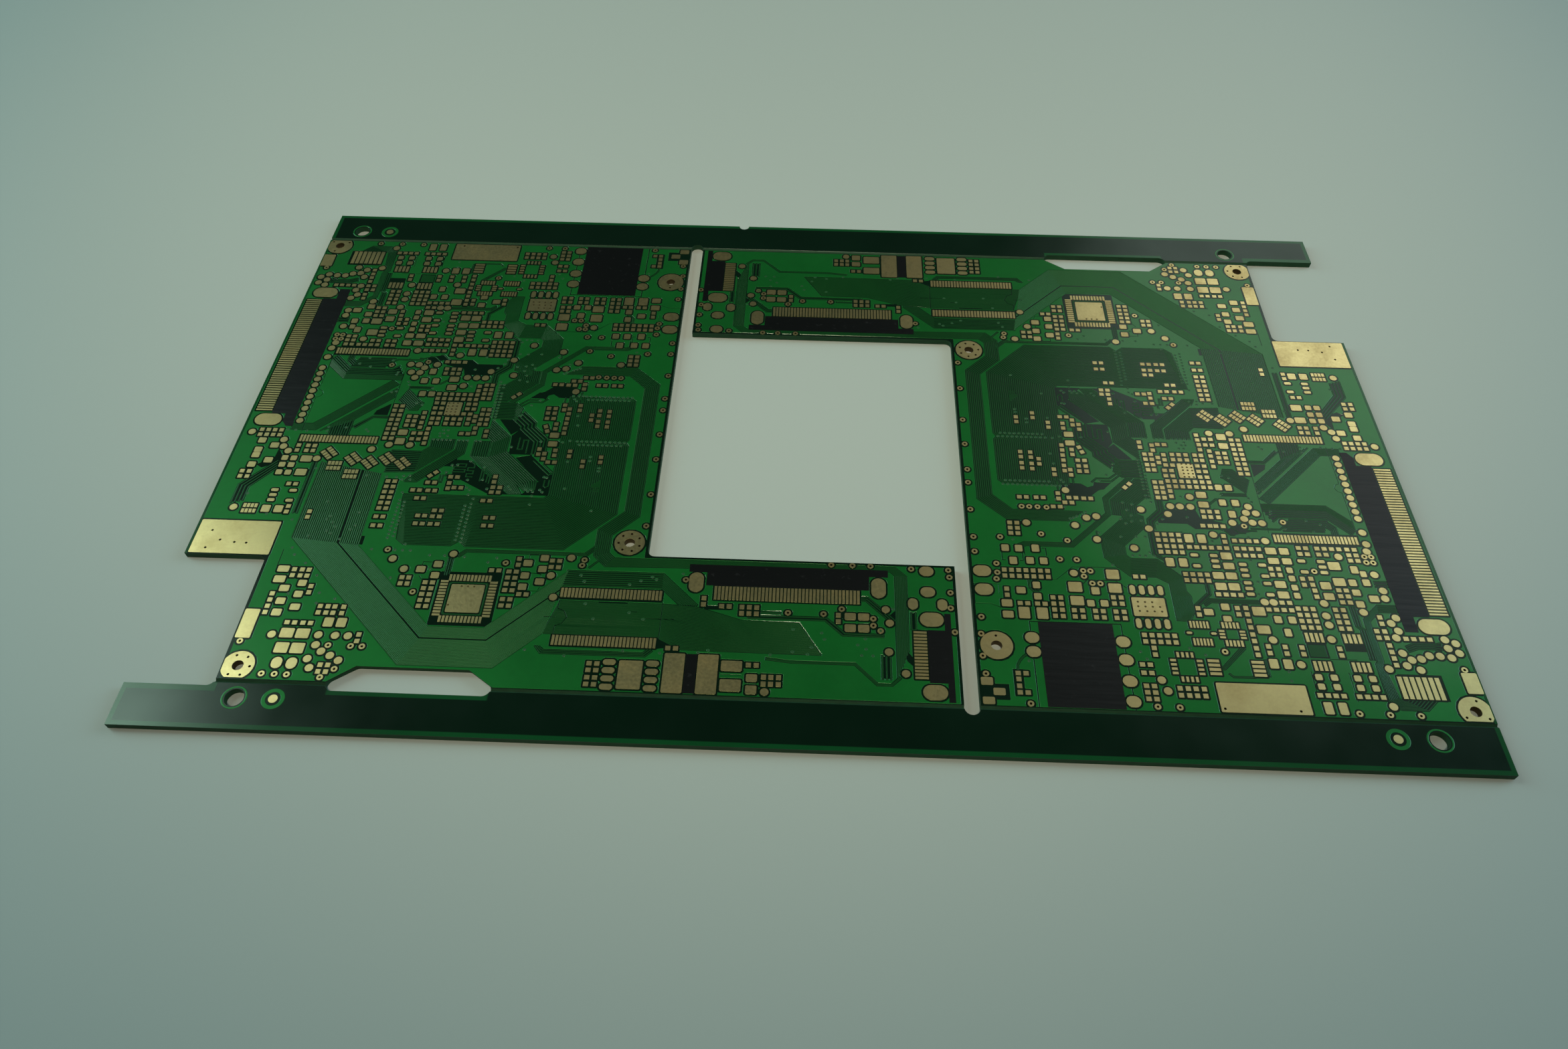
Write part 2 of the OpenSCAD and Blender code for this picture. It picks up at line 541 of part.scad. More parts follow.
// Small chips of the power section, along the far rail
module power_chips() color(gold) {
    chips([[-51.4, 42.1], [-50.35, 42.1], [-49.35, 42.1], [-48.3, 42.1], [-65.55, 35.25],
           [-63.35, 35.25], [-61.15, 35.25], [-59.5, 35.6], [-59.5, 33.45], [-59.5, 31.3],
           [-59.5, 29.2], [-58.35, 29.25], [-46, 36.1], [-53, 29.5], [-65.5, 22.4],
           [-64.45, 22.4], [-59.05, 16.85], [-42.9, 30.5], [-41.8, 30.5], [-40.1, 30.5],
           [-39.05, 30.5], [-37.3, 30.5], [-36.2, 30.5], [-34.6, 30.5], [-33.55, 30.5],
           [-34.6, 28.5], [-33.55, 28.5], [-42.85, 28.15], [-41.8, 28.15], [-27.35, 27.3],
           [-27.7, 41.55]],
          [[-44.55, 43.3], [-44.55, 42.35], [-44.55, 41.4], [-44.55, 39.45], [-44.55, 38.2],
           [-65.15, 28.8], [-63.1, 28.8], [-65.15, 27.6], [-58.8, 26.55], [-56.8, 26.55],
           [-58.55, 18.5], [-56.4, 18.5], [-54.35, 18.5], [-63, 19.7], [-60.95, 19.7],
           [-63, 18.5], [-60.95, 18.5], [-63, 17.1], [-60.95, 17.1], [-45.9, 24],
           [-31.85, 29.1], [-29.5, 29.1], [-28.2, 43], [-28.2, 40.15],
           [-29.3, 17], [-29.3, 16.05], [-29.3, 15.1]]);
    chips([for (i = [0 : 4]) [-49.05 + i, 34.1]]);
    chips([for (i = [0 : 3]) [-55.4 + i, 23.8]]);
    chips([for (i = [0 : 3], y = [19, 16.9]) [-52.65 + i, y]]);
    chips([for (i = [0 : 6]) [-33.3 + i, 24.05]]);
}

// Small chips of the radio corner, at the far end of the port connector
module radio_chips() color(gold) {
    chips([[-77.25, 36.45], [-77.25, 34.45], [-77.25, 32.25], [-77.25, 30], [-76.2, 32.25],
           [-70.5, 35.25], [-69.65, 25.9], [-69.6, 23.9], [-68.45, 23.95]],
          [[-73.6, 41.9], [-71.6, 41.9], [-68.6, 41.9], [-66.6, 41.9], [-82.35, 32.8],
           [-80.25, 32.8], [-73.45, 27.2], [-73.45, 26.2], [-73.45, 25.2], [-76.5, 20],
           [-76.5, 19.05], [-76.5, 18.05], [-74.35, 18.05], [-72.3, 18.05], [-72.3, 19.1],
           [-69.7, 19.1], [-69.7, 18.05]]);
    chips([for (x = [-72.65, -71.6, -68.6, -67.6, -66.6], y = [31, 29]) [x, y]]);
    for (x = [-73.55, -71.6, -68.6, -66.6], y = [40.6, 39.2]) on_face([x, y]) land(0.9, 0.9);
}

// Small chips about the central package and down the left side
module logic_chips() color(gold) {
    chips([[-59.05, 12.4], [-57.95, 12.4], [-57, 12.4], [-52.95, 8.7], [-51.9, 9], [-50.95, 9],
           [-51.9, 7.05], [-50.95, 7.05], [-58.85, 1.4], [-57.9, 1.4], [-56.55, 1.4],
           [-55.5, 1.4], [-54.5, 1.4], [-53.2, 1.5], [-52.25, 2.1], [-51.3, 3.6], [-50.4, 3.6],
           [-51.3, 1.5], [-50.35, 1.5], [-60.3, 2.55], [-60.3, 0.45], [-58.95, -0.8],
           [-58.9, -2.8], [-51.75, -0.4], [-49.9, -0.95], [-36.35, 9.8], [-38.75, 5.1],
           [-41.15, 4.3], [-40.1, 4.3], [-37.9, 4.3], [-37.95, 2.2], [-38, 0.15], [-39.45, 1],
           [-36.3, 5.1], [-34.25, 3.1], [-33.1, 4.1], [-33.1, 1.8], [-31.6, 4], [-31.6, 1.75],
           [-41.15, -4.3], [-40.25, -5.2], [-38.7, -4.45], [-36.45, -4.55], [-34.2, -6.5],
           [-31.6, -5.55], [-53.25, -11.55], [-46.7, -10.05], [-77.7, -5], [-76.25, -5],
           [-75.25, -5], [-75.5, -16.9], [-72.15, -17.75], [-84.5, -10.45], [-83.45, -10.45]],
          [[-58.85, 14.55], [-57, 14.55], [-58.4, 5.25], [-58.4, 4.15], [-58.4, 3.05],
           [-53.35, 5.2], [-53.35, 4.15], [-53.7, 3.05], [-62, 2.2], [-62, 1.25], [-62, 0.3],
           [-60.45, -1.3], [-60.45, -2.5], [-53.15, -1.1], [-35.9, 11.85], [-37.7, 11],
           [-40.55, 10.1], [-38.4, 10.05], [-33.6, 10.2], [-31.15, 10.2], [-40.6, 2.65],
           [-38.95, -6.35], [-55.95, -11.05], [-52.8, -9.85], [-51.85, -11.9], [-57.8, -12.6],
           [-55.55, -12.6], [-56.85, -14.1], [-47.1, -14.2], [-46.15, -11.6], [-46.2, -12.55],
           [-53.7, -16.3], [-55.9, -17.35], [-53.75, -17.4], [-55.9, -18.8], [-53.75, -18.8],
           [-46.05, -17.35], [-46.05, -18.8], [-76.3, -12.15]]);
    chips([for (i = [0 : 6]) [-59 + 1.01 * i, 6.75]]);
    chips([for (i = [0 : 3]) [-84.3 + i, -2]]);
    chips([], [for (i = [0 : 7]) [-64.6, 4.35 - 0.98 * i]]);
    chips([], [for (i = [0 : 5]) [-61.85, -11.05 - 1.03 * i]]);
    chips([], [[-61.85, -17.75], [-61.85, -19.4]]);
    for (p = [[-46.75, 7.4], [-56.05, -9.4]]) on_face(p, -45) chip();
    on_face([-40.8, 0.45], 20) chip();
    for (x = [-79, -77.65], y = [-7.1, -8.45, -9.95]) on_face([x, y]) land(0.95, 0.95);
}

// Small chips of the lower edge and of the arm
module arm_chips() color(gold) {
    on_face(root_middle) for (y = [0.55, -0.55]) translate([2.75, y, 0]) rotate([0, 0, 90]) chip();
    chips([[-71.1, -28.05], [-70, -28.05], [-69.05, -28.05], [-67.95, -30.8], [-72.85, -32.2],
           [-72.85, -34.25], [-55.9, -28.8], [-54.95, -28.8], [-65.7, -34], [-64.65, -34],
           [-63.7, -34], [-62.5, -34], [-59.25, -38.3], [-63, -43.1], [-62, -43.1],
           [-40.3, -25], [-14, -30.55], [-8.75, -31.8], [-7.75, -31.8], [-6.75, -31.8],
           [-5.3, -42.6], [-4.35, -42.6], [-3.35, -42.6], [4.3, -32.6]],
          [[-68.85, -36.25], [-66.7, -36.25], [-43.3, -26.6],
           [-40.85, -26.7], [-40.85, -27.75], [-40.85, -28.8], [-40.85, -29.85],
           [-40.85, -31.35], [-40.85, -32.4], [-38.8, -30.45], [-27.6, -40.95],
           [-27.6, -41.95], [-27.6, -43.05], [-27.6, -44.05], [-11, -31.25], [-17.6, -38.2],
           [-6.85, -40.35]]);
    chips([], [for (i = [0 : 4]) [-52, -29 - 0.98 * i]]);
}

// Black ink that keeps metal shells off the copper: flat fields, each with its
// corners about a middle
module ink() color(black) for (field = [
    [port_middle, [[1.4, -13.7], [1.4, 13.5], [3.6, 13.5], [3.6, 16], [5.4, 16],
                   [5.4, -16.3], [4.4, -16.3], [3.6, -15.3], [3.6, -13.7]]],
    [shield_middle, [[-4.95, -6.45], [5, -6.45], [5, 6.45], [-4.95, 6.45]]],
    [display_middle, [[-13.65, 4.7], [13.85, 4.7], [13.85, 3.5], [11.25, 3.5], [11.25, 1.2],
                      [-11.15, 1.2], [-11.15, 3.4], [-13.65, 3.4]]],
    [side_middle, [[3.35, 6.6], [4.2, 6.6], [4.2, -7], [3.35, -7], [3.35, -4.2],
                   [1, -4.2], [1, 3.9], [3.35, 3.9]]],
    [contact_middle, [[-0.75, 2.95], [0.75, 2.95], [0.75, -2.95], [-0.75, -2.95]]]
]) on_face(field[0]) linear_extrude(ink_t) polygon(field[1]);

panel();
rail_fiducials();

vias();  // a_vias
mount_lands();  // a_mount_lands
ground_lands();  // a_ground_lands
port_lands();  // a_port_lands
display_lands();  // a_display_lands
side_lands();  // a_side_lands
flash_lands();  // a_flash_lands
memory_lands();  // a_memory_lands
processor_lands();  // a_processor_lands
driver_lands();  // a_driver_lands
socket_lands();  // a_socket_lands
battery_lands();  // a_battery_lands
lamp_lands();  // a_lamp_lands
key_lands();  // a_key_lands
test_pads();  // a_test_pads
array_lands();  // a_array_lands
transistor_lands();  // a_transistor_lands
coil_lands();  // a_coil_lands
power_chips();  // a_power_chips
radio_chips();  // a_radio_chips
logic_chips();  // a_logic_chips
arm_chips();  // a_arm_chips
ink();  // a_ink

turned() vias();  // b_vias
turned() mount_lands();  // b_mount_lands
turned() ground_lands();  // b_ground_lands
turned() port_lands();  // b_port_lands
turned() display_lands();  // b_display_lands
turned() side_lands();  // b_side_lands
turned() flash_lands();  // b_flash_lands
turned() memory_lands();  // b_memory_lands
turned() processor_lands();  // b_processor_lands
turned() driver_lands();  // b_driver_lands
turned() socket_lands();  // b_socket_lands
turned() battery_lands();  // b_battery_lands
turned() lamp_lands();  // b_lamp_lands
turned() key_lands();  // b_key_lands
turned() test_pads();  // b_test_pads
turned() array_lands();  // b_array_lands
turned() transistor_lands();  // b_transistor_lands
turned() coil_lands();  // b_coil_lands
turned() power_chips();  // b_power_chips
turned() radio_chips();  // b_radio_chips
turned() logic_chips();  // b_logic_chips
turned() arm_chips();  // b_arm_chips
turned() ink();  // b_ink
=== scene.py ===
import bpy
import json
import math
import numpy as np
from mathutils import Euler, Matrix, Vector
from mathutils.geometry import delaunay_2d_cdt


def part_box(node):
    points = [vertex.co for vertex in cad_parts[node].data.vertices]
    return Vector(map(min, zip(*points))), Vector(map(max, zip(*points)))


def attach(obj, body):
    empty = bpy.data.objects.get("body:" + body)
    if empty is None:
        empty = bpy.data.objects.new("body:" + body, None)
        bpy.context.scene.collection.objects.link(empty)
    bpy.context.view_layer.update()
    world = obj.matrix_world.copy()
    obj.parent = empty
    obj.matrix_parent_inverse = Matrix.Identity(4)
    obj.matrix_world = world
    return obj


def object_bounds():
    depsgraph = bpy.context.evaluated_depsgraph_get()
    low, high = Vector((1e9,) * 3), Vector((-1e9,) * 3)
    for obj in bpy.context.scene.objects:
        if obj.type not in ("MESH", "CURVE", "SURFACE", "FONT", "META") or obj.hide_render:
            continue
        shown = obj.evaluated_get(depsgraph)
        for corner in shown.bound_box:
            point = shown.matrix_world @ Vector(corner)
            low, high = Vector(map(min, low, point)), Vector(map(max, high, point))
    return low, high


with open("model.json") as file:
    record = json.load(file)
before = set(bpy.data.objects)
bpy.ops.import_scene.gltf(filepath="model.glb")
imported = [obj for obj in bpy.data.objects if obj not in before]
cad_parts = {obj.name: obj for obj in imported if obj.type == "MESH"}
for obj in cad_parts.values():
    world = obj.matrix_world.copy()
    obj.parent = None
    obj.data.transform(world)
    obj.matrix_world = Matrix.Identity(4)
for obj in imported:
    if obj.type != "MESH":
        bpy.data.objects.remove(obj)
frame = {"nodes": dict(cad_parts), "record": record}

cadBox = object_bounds()
mm = 0.001
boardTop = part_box("panel")[1][2] / mm    # height of the bare board's face, mm
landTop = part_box("a_driver_lands")[1][2] / mm


class Wire:
    # one socket of a node tree; an expression on wires adds Math nodes
    def __init__(self, maker, socket):
        self.maker = maker
        self.socket = socket

    def maths(self, operation, *others):
        # one Math node whose first value is this wire
        return self.maker.maths(operation, self, *others)

    def __add__(self, other):
        return self.maths("ADD", other)

    def __radd__(self, other):
        return self.maths("ADD", other)

    def __sub__(self, other):
        return self.maths("SUBTRACT", other)

    def __rsub__(self, other):
        return self.maker.maths("SUBTRACT", other, self)

    def __mul__(self, other):
        return self.maths("MULTIPLY", other)

    def __rmul__(self, other):
        return self.maths("MULTIPLY", other)

    def ramp(self, start, end):
        # 0 at start, 1 at end, straight between
        return self.maker.node("ShaderNodeMapRange", {"clamp": True},
                               {"Value": self, "From Min": start, "From Max": end}, "Result")


class Finish:
    # a node material with one Principled shader, and short calls to add to it
    def __init__(self, name, **fixed):
        self.material = bpy.data.materials.new(name)
        self.material.use_nodes = True
        self.tree = self.material.node_tree
        self.tree.nodes.clear()
        out = self.tree.nodes.new("ShaderNodeOutputMaterial")
        self.shader = self.tree.nodes.new("ShaderNodeBsdfPrincipled")
        self.tree.links.new(self.shader.outputs[0], out.inputs[0])
        self.set(**fixed)

    def set(self, **values):
        # values or wires for the shader's sockets, with _ for the spaces in their names
        for name, value in values.items():
            self.put(self.shader.inputs[name.replace("_", " ")], value)

    def put(self, socket, value):
        # a wire is linked to the socket, anything else becomes its value
        if isinstance(value, Wire):
            self.tree.links.new(value.socket, socket)
        elif socket.type == "RGBA" and len(value) == 3:
            socket.default_value = (*value, 1)
        else:
            socket.default_value = value

    def node(self, kind, settings, values, output=0):
        # a node with its settings made first, then its sockets; gives one output as a wire
        node = self.tree.nodes.new(kind)
        for name, value in settings.items():
            setattr(node, name, value)
        for name, value in values.items():
            self.put(node.inputs[name], value)
        return Wire(self, node.outputs[output])

    def maths(self, operation, *values):
        # one Math node on wires or numbers
        return self.node("ShaderNodeMath", {"operation": operation}, dict(enumerate(values)))

    def coords(self):
        # the place on the object, in metres
        return self.node("ShaderNodeTexCoord", {}, {}, "Object")

    def axis(self, name):
        # one coordinate of the surface, in mm
        return self.node("ShaderNodeSeparateXYZ", {}, {0: self.coords()}, name) * (1 / mm)

    def noise(self, scale, detail=2.0, rough=0.5, stretch=(1, 1, 1)):
        # noise between 0 and 1 at the place times stretch
        where = self.node("ShaderNodeMapping", {}, {"Vector": self.coords(), "Scale": stretch})
        return self.node("ShaderNodeTexNoise", {},
                         {"Vector": where, "Scale": scale, "Detail": detail, "Roughness": rough})

    def mix(self, factor, first, second):
        # the colour (1 - factor) of the first and factor of the second
        return self.node("ShaderNodeMix", {"data_type": "RGBA"},
                         {0: factor, 6: first, 7: second}, 2)

    def tones(self, factor, colour, shares):
        # the colour times the first share where factor is 0, times the second where it is 1
        return self.mix(factor, *[tuple(c * share for c in colour) for share in shares])

    def bump(self, height, distance):
        # tilts the surface as if it rose by height times distance, in metres
        self.set(Normal=self.node("ShaderNodeBump", {}, {"Height": height, "Distance": distance}))


def srgb(red, green, blue):
    # screen values 0-255 to the linear values a shader takes
    return tuple((c / 255 / 12.92) if c / 255 < 0.04045 else ((c / 255 + 0.055) / 1.055) ** 2.4
                 for c in (red, green, blue))


cameraLook = {
    "focal": 25.46,                     # mm, on a frame this wide
    "frame": 36,
    "nearest": 0.005,                   # m
    "place": (-0.39, -115.63, 125.58),  # mm
    "turn": (38.44, -0.25, 2.18),       # degrees
}
camera = bpy.data.objects.new("camera", bpy.data.cameras.new("camera"))
camera.data.lens = cameraLook["focal"]
camera.data.sensor_width = cameraLook["frame"]
camera.data.clip_start = cameraLook["nearest"]
camera.location = Vector(cameraLook["place"]) * mm
camera.rotation_euler = Euler([math.radians(a) for a in cameraLook["turn"]])
bpy.context.scene.collection.objects.link(camera)
bpy.context.scene.camera = camera
print("camera placed")


lightLook = {
    # places and sizes in mm, cone in degrees: a soft spot in front, two panels whose
    # reflections lie on the left end and on the right half of the board, and two low fills
    # outside any reflection
    "key": {"kind": "SPOT", "place": (0, -300, 600), "aim": (0, 110, 0), "size": 120,
            "power": 11.6, "colour": (1.0, 0.86, 0.66), "cone": 35, "fade": 0.8},
    "leftPanel": {"kind": "AREA", "place": (-858, 430, 900), "aim": (0, 0, 0), "size": 380,
                  "power": 2.1, "colour": (0.86, 1.0, 0.92)},
    "rightPanel": {"kind": "AREA", "place": (720, 980, 880), "aim": (0, 0, 0), "size": 800,
                   "power": 1.6, "colour": (0.95, 1.0, 0.95)},
    "leftFill": {"kind": "AREA", "place": (-880, 280, 320), "aim": (0, 0, 0), "size": 640,
                 "power": 3.9, "colour": (0.5, 0.95, 0.95)},
    "rightFill": {"kind": "AREA", "place": (880, 280, 320), "aim": (0, 0, 0), "size": 640,
                  "power": 3.8, "colour": (0.5, 0.85, 1.0)},
}
roomLook = {"colour": (0.75, 0.95, 1.0), "strength": 0.03}
for name, look in lightLook.items():
    lamp = bpy.data.objects.new(name, bpy.data.lights.new(name, look["kind"]))
    if look["kind"] == "SPOT":
        lamp.data.shadow_soft_size = look["size"] * mm / 2
        lamp.data.spot_size = math.radians(look["cone"])
        lamp.data.spot_blend = look["fade"]
    else:
        lamp.data.shape = "DISK"
        lamp.data.size = look["size"] * mm
    lamp.data.energy = look["power"]
    lamp.data.color = look["colour"]
    lamp.location = Vector(look["place"]) * mm
    ahead = Vector(look["aim"]) * mm - lamp.location
    lamp.rotation_euler = ahead.to_track_quat("-Z", "Y").to_euler()
    bpy.context.scene.collection.objects.link(lamp)

world = bpy.data.worlds.new("room")
bpy.context.scene.world = world
world.use_nodes = True
backdrop = world.node_tree.nodes["Background"]
backdrop.inputs["Color"].default_value = (*roomLook["colour"], 1)
backdrop.inputs["Strength"].default_value = roomLook["strength"]
bpy.context.scene.view_settings.view_transform = "Standard"


def meshObject(name, points, faces, material, slot=None):
    # an object of whole arrays of points, in metres, and faces; with a slot it is a piece
    mesh = bpy.data.meshes.new(name)
    mesh.from_pydata(points.tolist(), [], faces.tolist())
    mesh.materials.append(material)
    mesh.update()
    thing = bpy.data.objects.new(name, mesh)
    bpy.context.scene.collection.objects.link(thing)
    if slot:
        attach(thing, "root")
    return thing


tableLook = {"colour": srgb(176, 188, 182), "rough": 0.6, "half": 3.0}    # half its side, m
tableTop = Finish("tableTop", Roughness=tableLook["rough"], Base_Color=tableLook["colour"])
corners = np.array([(-1, -1), (1, -1), (1, 1), (-1, 1)]) * tableLook["half"]
table = meshObject("table", np.c_[corners, np.zeros(4)], np.array([[0, 1, 2, 3]]),
                   tableTop.material)
print("light and table placed")


# The copper under the mask. Its places are on board A, in mm from the middle of the panel.

copperLook = {
    "rise": 0.012,        # how far the masked copper stands above the bare board, mm
    "thinRise": 0.008,    # and how far a thin trace does
    "foot": 0.0004,       # height above the board at which its sides end, mm
    "shoulder": 0.028,    # how far its sides lean out, mm
    "landGap": 0.28,      # bare ring round a land
    "nearShare": 0.75,    # share of that ring which a trace leaves bare
    "traceGap": 0.12,     # bare strip beside a trace
}

# outline of the copper fill, a little inside the board's own
boardEdge = [(-87.0, -19.0), (-75.35, -19.0), (-75.35, -45.0), (-61.6, -45.0), (-58.3, -42.55),
             (-43.5, -42.55), (-40.0, -45.0), (20.0, -45.0), (20.0, -23.6), (-22.9, -23.6),
             (-22.9, 45.0), (-87.0, 45.0)]

